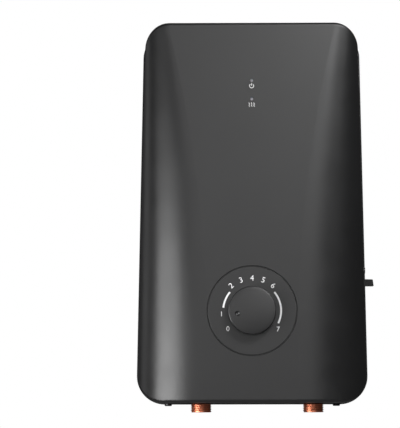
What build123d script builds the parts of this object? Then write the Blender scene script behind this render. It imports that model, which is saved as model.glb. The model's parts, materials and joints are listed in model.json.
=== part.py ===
from build123d import *
from math import cos, pi, radians, sin, sqrt, tan
import os

# Instant water heater that hangs on a wall. Millimetres, +Z up.
# The wall is the plane Y = 0, the front faces -Y, and depth is measured from the wall towards the front.
# The origin lies on the wall, halfway up the front cover.

# Case
case_height = 384.0
case_half = case_height / 2
case_top_width = 220.4
case_bottom_width = 236.4
case_depth = 86.0
cover_wall = 2.5
corner_radius = 28.0
side_draft = 2.5
end_draft = 0.5
front_edge_radius = 3.0
# Share of the half height, half the flat panel there, depth at which the side facet starts
front_sections = ((1.005, 85.0, 56.0), (0.0, 52.0, 38.0), (-1.005, 47.0, 32.0))
brow_fullness = 0.65
side_fullness = 0.55

# Back plate
base_thickness = 4.2
base_overhang = 0.8
part_gap = 0.3
lip_wall = 2.0
lip_height = 8.0
seal_width = 1.8
seal_depth = 1.2
foot_half_width = case_bottom_width / 2 - 40.2
foot_depth = 58.0
foot_wall = 3.0
foot_top = foot_wall - case_half
boss_radius = 4.5
post_radius = 3.5
wall_hole_radius = 2.75
wall_hole_x = case_bottom_width / 2 - 26.2
wall_hole_top = case_half - 37.0
wall_hole_bottom = 52.0 - case_half

# Screws: shank diameter, head diameter, head height
case_screw = (3.9, 7.4, 2.4)
board_screw = (2.9, 5.6, 1.8)
small_screw = (2.4, 4.4, 1.4)
screw_fit = 0.05
cover_screw_x = case_bottom_width / 2 - 32.2
cover_screw_depth = 14.0
cover_screw_length = 14.0

# Dial, knob and indicators
dial_z = 92.6 - case_half
dial_radius = 44.4
dial_groove = 0.8
dial_thickness = 1.5
dial_recess = 1.7
dial_backing = 2.3
knob_radius = 24.0
knob_height = 14.5
knob_lift = 0.5
knob_wall = 2.4
knob_crown = 1.4
knob_edge = 1.1
collar_radius = 6.0
clip_thickness = 0.9
clip_radius = 9.5
clip_groove = 0.9
pointer_angle = 193.0
pointer_reach = 15.2
pointer_radius = 2.5
lens_radius = 1.45
lens_heights = (case_half - 59.6, case_half - 78.4)
lens_fit = 0.15

# Control board and what it carries
board_thickness = 1.6
board_depth = 60.0
board_width = 88.0
board_height = 64.0
board_post_x = 36.0
board_post_z = 25.0
shaft_radius = 3.0
shaft_flat = 1.5
running_fit = 0.08
pot_radius = 8.2
pot_height = 8.5
pot_neck_radius = 4.2
pot_neck_height = 5.0

# Indicator board
led_board_depth = 75.0
led_board_width = 40.0
led_board_height = 42.0
led_board_x = 11.0

# Tank
tank_x = -24.0
tank_depth = 43.0
tank_radius = 29.5
tank_wall = 3.0
tank_top = case_half - 108.0
tank_bottom = tank_top - 122.0
tank_flange_radius = 36.0
tank_flange_height = 6.0
lid_dome_height = 8.0
lid_bolt_circle = 32.75
lid_bolt_count = 8
tank_ear_reach = 36.0
tank_ear_heights = (tank_bottom + 20.0, tank_top - 26.0)
element_radius = 3.2
element_bend = 6.0

# Water way
thread_radius = 10.4775
thread_end = foot_top - 12.0
thread_start = foot_top - foot_wall - 0.4
neck_radius = 9.3
bore_radius = 7.2
inlet_x = foot_half_width - 16.0
outlet_x = -52.0
water_depth = 34.0
hex_width = 27.0
hex_height = 6.0
pipe_radius = 6.0
pipe_wall = 1.0
inlet_pipe_x = inlet_x - 7.0
port_spacing = 32.0
valve_width = 32.0
valve_depth = 36.0
valve_bottom = foot_top + 12.0
valve_top = foot_top + 70.0
switch_z = valve_bottom + 28.0
piston_radius = 6.6
piston_height = 12.0

# Earth leakage breaker
breaker_z = 123.0 - case_half
breaker_height = 70.0
breaker_outer_x = case_bottom_width / 2 - 11.7
breaker_inner_x = breaker_outer_x - 35.5
breaker_near = 7.0
breaker_far = 43.0
bezel_height = 38.0
bezel_far = 42.0
lever_pivot_x = breaker_outer_x - 8.5
lever_depth = 25.0
lever_tip_x = case_bottom_width / 2 + 5.1
lever_width = 7.2
lever_travel = 28.0
hub_radius = 5.0
pivot_radius = 1.5
button_radius = 3.2
button_offset = 12.5
live_x = breaker_inner_x + 11.0
neutral_x = breaker_inner_x + 24.0

# Mains side
terminal_x = 66.0
terminal_z = case_half - 100.0
terminal_pitch = 14.0
grommet_x = 66.0
grommet_z = case_half - 52.0
cable_radius = 5.0
wire_radius = 1.3
lead_radius = 1.0
sink_x = 60.0
sink_z = 22.0

os.makedirs("parts", exist_ok=True)


def front(depth):
    """A plane parallel to the wall, at a depth, looking out of the front."""
    return Plane.XZ.offset(depth)


def half_width(z):
    """Half the cover's width at its rear edge."""
    slope = (case_bottom_width - case_top_width) / (2 * case_height)
    return (case_top_width + case_bottom_width) / 4 - slope * z


def case_outline(depth, inset=0.0):
    """Rounded outline of the drafted case at a depth."""
    top = case_half - inset - depth * tan(radians(end_draft))
    side = inset + depth * tan(radians(side_draft))
    with BuildSketch(Plane.XY, mode=Mode.PRIVATE) as outline:
        with BuildLine():
            Polyline(
                (-half_width(-top) + side, -top),
                (half_width(-top) - side, -top),
                (half_width(top) - side, top),
                (-half_width(top) + side, top),
                close=True,
            )
        make_face()
        fillet(outline.vertices(), corner_radius - side)
    return outline.sketch_local


def seal_ring():
    """Outline of the seal under the cover's rear edge, open where the foot stands."""
    edge = (cover_wall - seal_width) / 2
    with BuildSketch(Plane.XY, mode=Mode.PRIVATE) as ring:
        add(case_outline(cover_rear, edge))
        add(case_outline(cover_rear, edge + seal_width), mode=Mode.SUBTRACT)
        with Locations((0, -case_half)):
            Rectangle(2 * (foot_half_width + part_gap), 4 * cover_wall, mode=Mode.SUBTRACT)
    return ring.sketch_local


def case_block(inset, near, far):
    """Drafted block inside the sides of the case."""
    with BuildPart() as block:
        for depth in (near, far):
            with BuildSketch(front(depth)):
                add(case_outline(depth, inset))
        loft(ruled=True)
    return block.part


def front_form(inset):
    """Solid under the front: a flat panel between facets that widen downwards."""
    depth = case_depth - inset
    with BuildPart() as form:
        for share, panel, shoulder in front_sections:
            height = share * case_half
            edge = half_width(height) + 0.5 - inset
            knee = shoulder + side_fullness * (depth - shoulder)
            brow = panel + brow_fullness * (edge - panel)
            with BuildSketch(Plane.XY.offset(height)):
                with BuildLine():
                    Line((edge, corner_radius), (edge, -shoulder))
                    Bezier((edge, -shoulder), (edge, -knee), (brow, -depth), (panel, -depth))
                    Line((panel, -depth), (-panel, -depth))
                    Bezier((-panel, -depth), (-brow, -depth), (-edge, -knee), (-edge, -shoulder))
                    Line((-edge, -shoulder), (-edge, corner_radius))
                    Line((-edge, corner_radius), (edge, corner_radius))
                make_face()
        loft()
    return form.part


def screw_group(seat, places, screw, length):
    """Cross-head screws: heads stand out of the seat plane, shanks go in behind it."""
    shank, head, head_height = screw
    with BuildPart() as group:
        with BuildSketch(seat):
            with Locations(*places):
                Circle(shank / 2)
        extrude(amount=-length)
        with BuildSketch(seat):
            with Locations(*places):
                Circle(head / 2)
        extrude(amount=head_height)
        rims = group.edges().filter_by(GeomType.CIRCLE).filter_by(lambda e: abs(e.radius - head / 2) < 0.001)
        outer = [e for e in rims if (e.arc_center - seat.origin).dot(seat.z_dir) > head_height / 2]
        fillet(outer, head_height * 0.45)
        with BuildSketch(seat.offset(head_height)):
            with Locations(*places):
                Rectangle(head * 0.6, head * 0.14)
                Rectangle(head * 0.14, head * 0.6)
        extrude(amount=-head_height * 0.5, mode=Mode.SUBTRACT)
    return group.part


def bend_radii(points, share=0.45):
    """Largest fair radius at each corner of a route."""
    radii = []
    for a, b, c in zip(points, points[1:], points[2:]):
        before = Vector(b) - Vector(a)
        after = Vector(c) - Vector(b)
        half_turn = radians(before.get_angle(after)) / 2
        radii.append(share * min(before.length, after.length) / tan(half_turn))
    return radii


def tube_along(points, radius, radii=None, bore=0.0):
    """Round tube or wire along straight runs joined by tangent arcs."""
    with BuildPart() as tube:
        with BuildLine() as route:
            if len(points) > 2:
                FilletPolyline(*points, radius=radii or bend_radii(points))
            else:
                Line(*points)
        start = route.line @ 0
        way = route.line % 0
        with BuildSketch(Plane(origin=start, z_dir=way)):
            Circle(radius)
            if bore:
                Circle(bore, mode=Mode.SUBTRACT)
        sweep(path=route.line)
    return tube.part


def at(x, depth, z):
    """Point given by its place across, its depth from the wall and its height."""
    return (x, -depth, z)


def finish(piece, name):
    """Name a finished piece and write it."""
    piece.label = name
    export_step(piece, "parts/" + name + ".step")


# Places that several pieces share
cover_rear = base_thickness + part_gap
cover_inside = case_depth - cover_wall
lip_far = base_thickness + lip_height
lug_depth = cover_screw_depth + 7.0
lug_bottom = -case_half + cover_wall + lug_depth * tan(radians(end_draft)) + part_gap
wall_holes = [(x, z) for x in (-wall_hole_x, wall_hole_x) for z in (wall_hole_top, wall_hole_bottom)]
board_posts = [(x, dial_z + z) for x in (-board_post_x, board_post_x) for z in (-board_post_z, board_post_z)]
led_board_z = (lens_heights[0] + lens_heights[1]) / 2
led_posts = [(led_board_x + 15.0, led_board_z + z) for z in (-17.0, 17.0)]
tank_ears = [(tank_x + x, z) for x in (-tank_ear_reach, tank_ear_reach) for z in tank_ear_heights]
tank_ear_depth = tank_depth - tank_radius - 1.0
tank_ear_thickness = 5.0
port_bottom = tank_bottom - 8.0
inlet_port_x = tank_x + port_spacing / 2
outlet_port_x = tank_x - port_spacing / 2
hex_top = foot_top + hex_height
valve_ears = [(inlet_x - valve_width / 2 - 4.5, z) for z in (valve_bottom + 8.0, valve_top - 14.0)]
valve_ears += [(inlet_x + valve_width / 2 + 4.5, z) for z in (valve_bottom + 8.0, valve_top - 14.0)]
valve_near = water_depth - valve_depth / 2
clamp_z = foot_top + 20.0
clamp_width = 12.0
clamp_reach = 17.6
clamp_length = 2 * clamp_reach + 11.0
clamp_screws = [(outlet_x + x, clamp_z) for x in (-clamp_reach, clamp_reach)]
fitting_body_radius = 9.5
breaker_ears = [(breaker_inner_x + x, breaker_z + z) for x in (8.0, 27.0) for z in (-38.5, 38.5)]
terminal_holes = [(terminal_x + x, terminal_z) for x in (-24.5, 24.5)]
cable_clamp_z = grommet_z - 24.0
cable_clamp_holes = [(grommet_x + x, cable_clamp_z) for x in (-11.0, 11.0)]
sink_holes = [(sink_x + x, sink_z + z) for x in (-22.0, 22.0) for z in (-18.0, 18.0)]
sink_near = 9.0
terminal_near = 9.0
clamp_near = 12.0

shallowest_shoulder = min(section[2] for section in front_sections) - 2.0
shaft_end = case_depth + 9.0

# Back plate with lip, foot, posts and holes
with BuildPart() as back_plate:
    with BuildSketch(front(0)):
        add(case_outline(0, -base_overhang))
    extrude(amount=base_thickness)
    with BuildSketch(front(base_thickness)):
        add(case_outline(lip_far, cover_wall + part_gap))
        add(case_outline(lip_far, cover_wall + part_gap + lip_wall), mode=Mode.SUBTRACT)
    extrude(amount=lip_height)
    # Gap in the lip for the breaker's bezel
    with BuildSketch(front(base_thickness)):
        with Locations((half_width(breaker_z) - cover_wall, breaker_z)):
            Rectangle(6 * lip_wall, bezel_height + 2.0)
    extrude(amount=lip_height, mode=Mode.SUBTRACT)
    # Groove for the seal under the cover's rear edge
    with BuildSketch(front(base_thickness)):
        add(seal_ring())
    extrude(amount=-seal_depth, mode=Mode.SUBTRACT)
    # Foot that closes the bottom, with a hole for each water connection
    with BuildSketch(Plane.XY.offset(-case_half)):
        with Locations((0, -foot_depth / 2)):
            Rectangle(2 * foot_half_width, foot_depth)
        with Locations((inlet_x, -water_depth), (outlet_x, -water_depth)):
            Circle(thread_radius + part_gap, mode=Mode.SUBTRACT)
    extrude(amount=foot_wall)
    # Gussets between the foot and the plate
    for x in (-foot_half_width + 1.5, -18.0, 22.0):
        with BuildSketch(Plane.YZ.offset(x - 1.0)):
            with BuildLine():
                Polyline(
                    (-base_thickness + 0.5, foot_top - 0.5),
                    (-foot_depth + 6.0, foot_top - 0.5),
                    (-base_thickness + 0.5, foot_top + 22.0),
                    close=True,
                )
            make_face()
        extrude(amount=2.0)
    # Lugs for the cover screws
    with BuildSketch(Plane.XY.offset(lug_bottom)):
        with Locations((-cover_screw_x, -lug_depth / 2), (cover_screw_x, -lug_depth / 2)):
            Rectangle(11.0, lug_depth)
    extrude(amount=cover_screw_length)
    # Posts and bosses
    stands = (
        (board_posts, post_radius, board_depth),
        (led_posts, post_radius, led_board_depth),
        (tank_ears, boss_radius + 1.0, tank_ear_depth),
        (valve_ears, boss_radius, valve_near),
        (breaker_ears, boss_radius, breaker_near),
        (terminal_holes, boss_radius, terminal_near),
        (sink_holes, boss_radius, sink_near),
        (cable_clamp_holes, boss_radius, clamp_near),
    )
    for places, radius, depth in stands:
        with BuildSketch(front(base_thickness - 0.5)):
            with Locations(*places):
                Circle(radius)
        extrude(amount=depth - base_thickness + 0.5)
    # Saddle under the outlet connection
    with BuildSketch(front(base_thickness - 0.5)):
        with Locations((outlet_x, clamp_z)):
            Rectangle(clamp_length, clamp_width)
    extrude(amount=water_depth - base_thickness + 0.5)
    with BuildSketch(Plane.XY.offset(clamp_z - clamp_width)):
        with Locations((outlet_x, -water_depth)):
            Circle(fitting_body_radius + part_gap)
    extrude(amount=2 * clamp_width, mode=Mode.SUBTRACT)
    # Ribs that stiffen the plate
    with BuildSketch(front(base_thickness - 0.5)):
        for x in (-70.0, 26.0):
            with Locations((x, 40.0)):
                Rectangle(2.0, 200.0)
    extrude(amount=3.0)
    # Screw holes
    drills = (
        (board_posts, board_screw, board_depth, 10.0),
        (led_posts, board_screw, led_board_depth, 10.0),
        (tank_ears, case_screw, tank_ear_depth, 8.0),
        (valve_ears, board_screw, valve_near, 10.0),
        (breaker_ears, board_screw, breaker_near, 6.0),
        (terminal_holes, board_screw, terminal_near, 7.0),
        (sink_holes, board_screw, sink_near, 7.0),
        (cable_clamp_holes, board_screw, clamp_near, 9.0),
        (clamp_screws, case_screw, water_depth, 12.0),
    )
    for places, screw, depth, hole in drills:
        with BuildSketch(front(depth)):
            with Locations(*places):
                Circle(screw[0] / 2 + screw_fit)
        extrude(amount=-hole, mode=Mode.SUBTRACT)
    with BuildSketch(Plane.XY.offset(lug_bottom - 1.0)):
        with Locations((-cover_screw_x, -cover_screw_depth), (cover_screw_x, -cover_screw_depth)):
            Circle(case_screw[0] / 2 + screw_fit)
    extrude(amount=cover_screw_length - 1.0, mode=Mode.SUBTRACT)
    with BuildSketch(front(0)):
        with Locations(*wall_holes):
            Circle(wall_hole_radius)
        with Locations((grommet_x, grommet_z)):
            Circle(cable_radius + 3.0)
    extrude(amount=base_thickness, mode=Mode.SUBTRACT)
finish(back_plate.part, "back_plate")

# Seal between the back plate and the cover
with BuildPart() as case_seal:
    with BuildSketch(front(base_thickness - seal_depth)):
        add(seal_ring())
    extrude(amount=seal_depth + part_gap)
finish(case_seal.part, "case_seal")

# Hollow of the front cover
with BuildPart() as cover_hollow:
    add(case_block(cover_wall, 0.0, case_depth + 10.0))
    add(front_form(cover_wall), mode=Mode.INTERSECT)

# Front cover
with BuildPart() as front_cover:
    add(case_block(0.0, cover_rear, case_depth + 10.0))
    add(front_form(0.0), mode=Mode.INTERSECT)
    rims = [e for e in front_cover.edges() if e.bounding_box().max.Y < -shallowest_shoulder]
    creases = [e for e in rims if e.bounding_box().size.Y < 0.01]
    creases = [e for e in creases if e.bounding_box().size.Z > case_height / 2]
    fillet([e for e in rims if e not in creases], front_edge_radius)
    add(cover_hollow.part, mode=Mode.SUBTRACT)
    # Backing behind the dial and guide for the knob's collar
    with BuildSketch(front(cover_inside - dial_backing)):
        with Locations((0, dial_z)):
            Circle(dial_radius + dial_groove + 2.0)
    extrude(amount=dial_backing + 0.5)
    # Recess for the dial plate
    with BuildSketch(front(case_depth)):
        with Locations((0, dial_z)):
            Circle(dial_radius + dial_groove)
    extrude(amount=-dial_recess, mode=Mode.SUBTRACT)
    recess_rim = front_cover.edges().filter_by(GeomType.CIRCLE)
    recess_rim = recess_rim.filter_by(lambda e: abs(e.radius - dial_radius - dial_groove) < 0.001)
    chamfer(recess_rim.sort_by(Axis.Y)[0], 0.4)
    with BuildSketch(front(case_depth + 1.0)):
        with Locations((0, dial_z)):
            Circle(collar_radius + running_fit)
        with Locations(*[(0, z) for z in lens_heights]):
            Circle(lens_radius + lens_fit)
    extrude(amount=-12.0, mode=Mode.SUBTRACT)
    # Opening for the foot of the back plate
    with BuildSketch(front(0)):
        with Locations((0, -case_half)):
            Rectangle(2 * (foot_half_width + part_gap), 2 * (foot_wall + part_gap))
    extrude(amount=foot_depth + part_gap, mode=Mode.SUBTRACT)
    # Slots that slide over the cover screws
    with BuildSketch(Plane.XY.offset(-case_half - 1.0)):
        for x in (-cover_screw_x, cover_screw_x):
            with Locations((x, -cover_screw_depth / 2)):
                Rectangle(case_screw[0] + 2 * part_gap, cover_screw_depth)
            with Locations((x, -cover_screw_depth)):
                Circle(case_screw[0] / 2 + part_gap)
    extrude(amount=cover_wall + 2.0, mode=Mode.SUBTRACT)
    # Notch for the breaker's bezel
    with BuildSketch(front(0)):
        with Locations((half_width(breaker_z), breaker_z)):
            Rectangle(30.0, bezel_height + 2 * part_gap)
    extrude(amount=bezel_far + part_gap, mode=Mode.SUBTRACT)
finish(front_cover.part, "front_cover")

# Screws that hold the cover at the foot
cover_screw_seat = Plane(origin=(0, 0, -case_half - 0.05), x_dir=(1, 0, 0), z_dir=(0, 0, -1))
cover_screw_places = [(x, cover_screw_depth) for x in (-cover_screw_x, cover_screw_x)]
finish(screw_group(cover_screw_seat, cover_screw_places, case_screw, cover_screw_length), "cover_screws")

# Dial plate
dial_floor = case_depth - dial_recess
with BuildPart() as dial_plate:
    with BuildSketch(front(dial_floor)):
        with Locations((0, dial_z)):
            Circle(dial_radius)
            Circle(collar_radius + 1.0, mode=Mode.SUBTRACT)
    extrude(amount=dial_thickness)
    dial_edges = dial_plate.edges().filter_by(GeomType.CIRCLE)
    dial_edges = dial_edges.filter_by(lambda e: e.radius > dial_radius - 0.001)
    fillet(dial_edges.sort_by(Axis.Y)[0], 0.4)
finish(dial_plate.part, "dial_plate")

# Control knob: a crowned cap with a collar that turns in the cover
knob_near = dial_floor + dial_thickness + knob_lift
knob_far = knob_near + knob_height
crown_rim = knob_far - knob_crown
crown_sphere = (knob_radius**2 + knob_crown**2) / (2 * knob_crown)
crown_drop = crown_sphere - sqrt(crown_sphere**2 - knob_radius**2 / 4)
clip_far = cover_inside - dial_backing - part_gap
collar_end = clip_far - clip_thickness - 1.6
knob_axis = Axis((0, 0, dial_z), (0, -1, 0))
with BuildPart() as control_knob:
    # Half section beside the axis: distance from the axis, depth
    with BuildSketch(Plane(origin=(0, 0, dial_z), x_dir=(1, 0, 0), z_dir=(0, 0, 1))):
        with BuildLine():
            wall = Line((knob_radius - knob_wall, -knob_near), (knob_radius, -knob_near))
            side = Line(wall @ 1, (knob_radius, -crown_rim))
            ThreePointArc(side @ 1, (knob_radius / 2, -knob_far + crown_drop), (0, -knob_far))
            Polyline(
                (0, -knob_far),
                (0, -collar_end),
                (collar_radius, -collar_end),
                (collar_radius, -crown_rim + knob_wall),
                (knob_radius - knob_wall, -crown_rim + knob_wall),
                (knob_radius - knob_wall, -knob_near),
            )
        make_face()
    revolve(axis=knob_axis)
    knob_rims = control_knob.edges().filter_by(GeomType.CIRCLE)
    knob_rims = knob_rims.filter_by(lambda e: abs(e.radius - knob_radius) < 0.01)
    fillet(knob_rims.sort_by(Axis.Y)[0], knob_edge)
    # Ribs between collar and wall
    with BuildSketch(front(crown_rim - knob_wall)):
        with Locations((0, dial_z)):
            with PolarLocations((knob_radius + collar_radius - knob_wall) / 2, 6):
                Rectangle(knob_radius - knob_wall - collar_radius + 1.0, 1.2)
    extrude(amount=-(crown_rim - knob_wall - knob_near - 1.5))
    # Groove for the clip
    with BuildSketch(front(clip_far)):
        with Locations((0, dial_z)):
            Circle(collar_radius + 1.0)
            Circle(collar_radius - clip_groove, mode=Mode.SUBTRACT)
    extrude(amount=-clip_thickness, mode=Mode.SUBTRACT)
    # Flatted bore for the shaft
    with BuildSketch(front(collar_end)):
        with Locations((0, dial_z)):
            Circle(shaft_radius + running_fit)
        with Locations((0, dial_z - shaft_radius + shaft_flat / 2)):
            Rectangle(3 * shaft_radius, shaft_flat - 2 * running_fit, mode=Mode.SUBTRACT)
    extrude(amount=shaft_end - collar_end + part_gap, mode=Mode.SUBTRACT)
    # Dimple that points at the setting
    pointer_x = pointer_reach * cos(radians(pointer_angle))
    pointer_z = dial_z + pointer_reach * sin(radians(pointer_angle))
    with Locations((pointer_x, -knob_far - pointer_radius * 0.55, pointer_z)):
        Sphere(pointer_radius * 1.35, mode=Mode.SUBTRACT)
finish(control_knob.part, "control_knob")

# Clip that keeps the knob in the cover
with BuildPart() as knob_clip:
    with BuildSketch(front(clip_far)):
        with Locations((0, dial_z)):
            Circle(clip_radius)
            Circle(collar_radius - clip_groove + running_fit, mode=Mode.SUBTRACT)
        with Locations((0, dial_z - clip_radius)):
            Rectangle(collar_radius, 2 * clip_radius, mode=Mode.SUBTRACT)
    extrude(amount=-clip_thickness)
finish(knob_clip.part, "knob_clip")

# Lenses that carry the light of the two indicators to the front
with BuildPart() as indicator_lenses:
    for z in lens_heights:
        with BuildSketch(front(led_board_depth + board_thickness + 5.0 + part_gap)):
            with Locations((0, z)):
                Circle(lens_radius + 0.8)
        extrude(amount=cover_inside - led_board_depth - board_thickness - 5.0 - part_gap)
        with BuildSketch(front(cover_inside - 1.2)):
            with Locations((0, z)):
                Circle(lens_radius + 1.7)
        extrude(amount=1.2)
        with BuildSketch(front(cover_inside)):
            with Locations((0, z)):
                Circle(lens_radius)
        extrude(amount=cover_wall - 0.3)
    lens_rims = indicator_lenses.edges().filter_by(GeomType.CIRCLE).sort_by(Axis.Y)[:2]
    fillet(lens_rims, 0.5)
finish(indicator_lenses.part, "indicator_lenses")

# Board behind the lenses, with its two diodes
with BuildPart() as indicator_board:
    with BuildSketch(front(led_board_depth)):
        with Locations((led_board_x, led_board_z)):
            RectangleRounded(led_board_width, led_board_height, 2.0)
        with Locations(*led_posts):
            Circle(board_screw[0] / 2 + screw_fit, mode=Mode.SUBTRACT)
    extrude(amount=board_thickness)
finish(indicator_board.part, "indicator_board")

with BuildPart() as indicator_diodes:
    with BuildSketch(front(led_board_depth + board_thickness)):
        with Locations(*[(0, z) for z in lens_heights]):
            Circle(2.9)
    extrude(amount=1.0)
    with BuildSketch(front(led_board_depth + board_thickness + 1.0)):
        with Locations(*[(0, z) for z in lens_heights]):
            Circle(2.5)
    extrude(amount=4.0)
    fillet(indicator_diodes.edges().filter_by(GeomType.CIRCLE).sort_by(Axis.Y)[:2], 2.0)
finish(indicator_diodes.part, "indicator_diodes")

# Control board
board_front = board_depth + board_thickness
with BuildPart() as control_board:
    with BuildSketch(front(board_depth)):
        with Locations((0, dial_z)):
            RectangleRounded(board_width, board_height, 3.0)
        with Locations(*board_posts):
            Circle(board_screw[0] / 2 + screw_fit, mode=Mode.SUBTRACT)
    extrude(amount=board_thickness)
finish(control_board.part, "control_board")

# Screws of both boards
with BuildPart() as board_screws:
    add(screw_group(front(board_front), board_posts, board_screw, 9.0))
    add(screw_group(front(led_board_depth + board_thickness), led_posts, board_screw, 9.0))
finish(board_screws.part, "board_screws")

# Potentiometer: round case with a neck, bored for its shaft
with BuildPart() as potentiometer:
    with BuildSketch(front(board_front)):
        with Locations((0, dial_z)):
            Circle(pot_radius)
        with Locations((0, dial_z - pot_radius)):
            Rectangle(1.6 * pot_radius, pot_radius)
    extrude(amount=pot_height)
    with BuildSketch(front(board_front + pot_height)):
        with Locations((0, dial_z)):
            Circle(pot_neck_radius)
    extrude(amount=pot_neck_height)
    with BuildSketch(front(board_front + pot_height + pot_neck_height)):
        with Locations((0, dial_z)):
            Circle(shaft_radius + running_fit)
    extrude(amount=-(pot_height + pot_neck_height - 2.0), mode=Mode.SUBTRACT)
finish(potentiometer.part, "potentiometer")

# Shaft with a flat, turned by the knob
with BuildPart() as potentiometer_shaft:
    with BuildSketch(front(board_front + 2.0 + part_gap)):
        with Locations((0, dial_z)):
            Circle(shaft_radius)
    extrude(amount=shaft_end - board_front - 2.0 - part_gap)
    with BuildSketch(front(board_front + pot_height + pot_neck_height + 1.0)):
        with Locations((0, dial_z - shaft_radius + shaft_flat / 2)):
            Rectangle(3 * shaft_radius, shaft_flat)
    extrude(amount=30.0, mode=Mode.SUBTRACT)
finish(potentiometer_shaft.part, "potentiometer_shaft")

# Relay, capacitors and connectors on the control board
with BuildPart() as relay:
    with BuildSketch(front(board_front)):
        with Locations((-26.0, dial_z + 14.0)):
            Rectangle(15.5, 19.0)
    extrude(amount=15.0)
    fillet(relay.edges().filter_by(Axis.Y), 0.8)
finish(relay.part, "relay")

with BuildPart() as capacitors:
    with BuildSketch(front(board_front)):
        with Locations((-24.0, dial_z - 14.0)):
            Rectangle(18.0, 8.0)
    extrude(amount=12.0)
    with BuildSketch(front(board_front)):
        with Locations((22.0, dial_z + 16.0), (32.0, dial_z + 6.0)):
            Circle(4.0)
    extrude(amount=13.0)
    fillet(capacitors.edges().filter_by(GeomType.CIRCLE).sort_by(Axis.Y)[:2], 0.6)
finish(capacitors.part, "capacitors")

with BuildPart() as connectors:
    for x, z, width in ((24.0, -20.0, 20.0), (-2.0, -26.0, 12.0), (4.0, 26.0, 14.0)):
        with BuildSketch(front(board_front)):
            with Locations((x, dial_z + z)):
                Rectangle(width, 6.0)
        extrude(amount=7.0)
        with BuildSketch(front(board_front + 7.0)):
            with Locations((x, dial_z + z)):
                Rectangle(width - 2.0, 4.0)
        extrude(amount=-4.0, mode=Mode.SUBTRACT)
finish(connectors.part, "connectors")

# Heating tank with ribs, ears and two sockets below
ports = [(x, -water_depth) for x in (inlet_port_x, outlet_port_x)]
with BuildPart() as tank_body:
    with BuildSketch(Plane.XY.offset(tank_bottom)):
        with Locations((tank_x, -tank_depth)):
            Circle(tank_radius)
            with PolarLocations(tank_radius, 10):
                Rectangle(5.0, 2.0)
    extrude(amount=tank_top - tank_bottom)
    fillet(tank_body.faces().sort_by(Axis.Z)[0].edges().filter_by(GeomType.CIRCLE), 1.2)
    with BuildSketch(Plane.XY.offset(tank_top - tank_flange_height)):
        with Locations((tank_x, -tank_depth)):
            Circle(tank_flange_radius)
    extrude(amount=tank_flange_height)
    with BuildSketch(front(tank_ear_depth)):
        for height in tank_ear_heights:
            with Locations((tank_x, height)):
                SlotOverall(2 * (tank_ear_reach + boss_radius + 1.0), 2 * (boss_radius + 1.0))
    extrude(amount=tank_ear_thickness)
    with BuildSketch(Plane.XY.offset(port_bottom)):
        with Locations(*ports):
            Circle(pipe_radius + 3.2)
    extrude(amount=tank_bottom - port_bottom + 1.0)
    with BuildSketch(Plane.XY.offset(tank_top)):
        with Locations((tank_x, -tank_depth)):
            Circle(tank_radius - tank_wall)
    extrude(amount=tank_bottom + tank_wall - tank_top, mode=Mode.SUBTRACT)
    with BuildSketch(Plane.XY.offset(tank_top)):
        with Locations((tank_x, -tank_depth)):
            Circle(tank_radius + 0.6)
            Circle(tank_radius - 1.8, mode=Mode.SUBTRACT)
    extrude(amount=-1.6, mode=Mode.SUBTRACT)
    with BuildSketch(Plane.XY.offset(port_bottom)):
        with Locations(*ports):
            Circle(pipe_radius + screw_fit)
    extrude(amount=tank_bottom - port_bottom, mode=Mode.SUBTRACT)
    with BuildSketch(Plane.XY.offset(port_bottom)):
        with Locations(*ports):
            Circle(pipe_radius + 1.9)
    extrude(amount=2.0, mode=Mode.SUBTRACT)
    with BuildSketch(Plane.XY.offset(tank_bottom - 1.0)):
        with Locations(*ports):
            Circle(pipe_radius - pipe_wall)
    extrude(amount=tank_wall + 2.0, mode=Mode.SUBTRACT)
    with BuildSketch(front(tank_ear_depth + tank_ear_thickness)):
        with Locations(*tank_ears):
            Circle(case_screw[0] / 2 + screw_fit)
    extrude(amount=-tank_ear_thickness, mode=Mode.SUBTRACT)
    with BuildSketch(Plane.XY.offset(tank_top)):
        with Locations((tank_x, -tank_depth)):
            with PolarLocations(lid_bolt_circle, lid_bolt_count, start_angle=180 / lid_bolt_count):
                Circle(board_screw[0] / 2 + screw_fit)
    extrude(amount=-tank_flange_height, mode=Mode.SUBTRACT)
finish(tank_body.part, "tank_body")

# Seal ring between tank and lid
with BuildPart() as tank_seal:
    with BuildSketch(Plane.XY.offset(tank_top - 1.6)):
        with Locations((tank_x, -tank_depth)):
            Circle(tank_radius + 0.4)
            Circle(tank_radius - 1.6, mode=Mode.SUBTRACT)
    extrude(amount=1.6)
finish(tank_seal.part, "tank_seal")

# Tank lid with a low dome and two bosses for the heating element
lid_flange_top = tank_top + tank_flange_height
dome_top = lid_flange_top + lid_dome_height
element_reach = 3 * element_bend
element_places = [(tank_x - element_reach, -tank_depth), (tank_x + element_reach, -tank_depth)]
with BuildPart() as tank_lid:
    with BuildSketch(Plane.XY.offset(tank_top)):
        with Locations((tank_x, -tank_depth)):
            Circle(tank_flange_radius)
    extrude(amount=tank_flange_height)
    with BuildSketch(Plane.XY.offset(lid_flange_top)):
        with Locations((tank_x, -tank_depth)):
            Circle(tank_radius - 2.0)
    extrude(amount=lid_dome_height)
    fillet(tank_lid.faces().sort_by(Axis.Z)[-1].edges(), 3.0)
    with BuildSketch(Plane.XY.offset(tank_top)):
        with Locations(*element_places):
            Circle(element_radius + screw_fit)
        with Locations((tank_x, -tank_depth)):
            with PolarLocations(lid_bolt_circle, lid_bolt_count, start_angle=180 / lid_bolt_count):
                Circle(board_screw[0] / 2 + screw_fit)
    extrude(amount=dome_top - tank_top, mode=Mode.SUBTRACT)
finish(tank_lid.part, "tank_lid")

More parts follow.
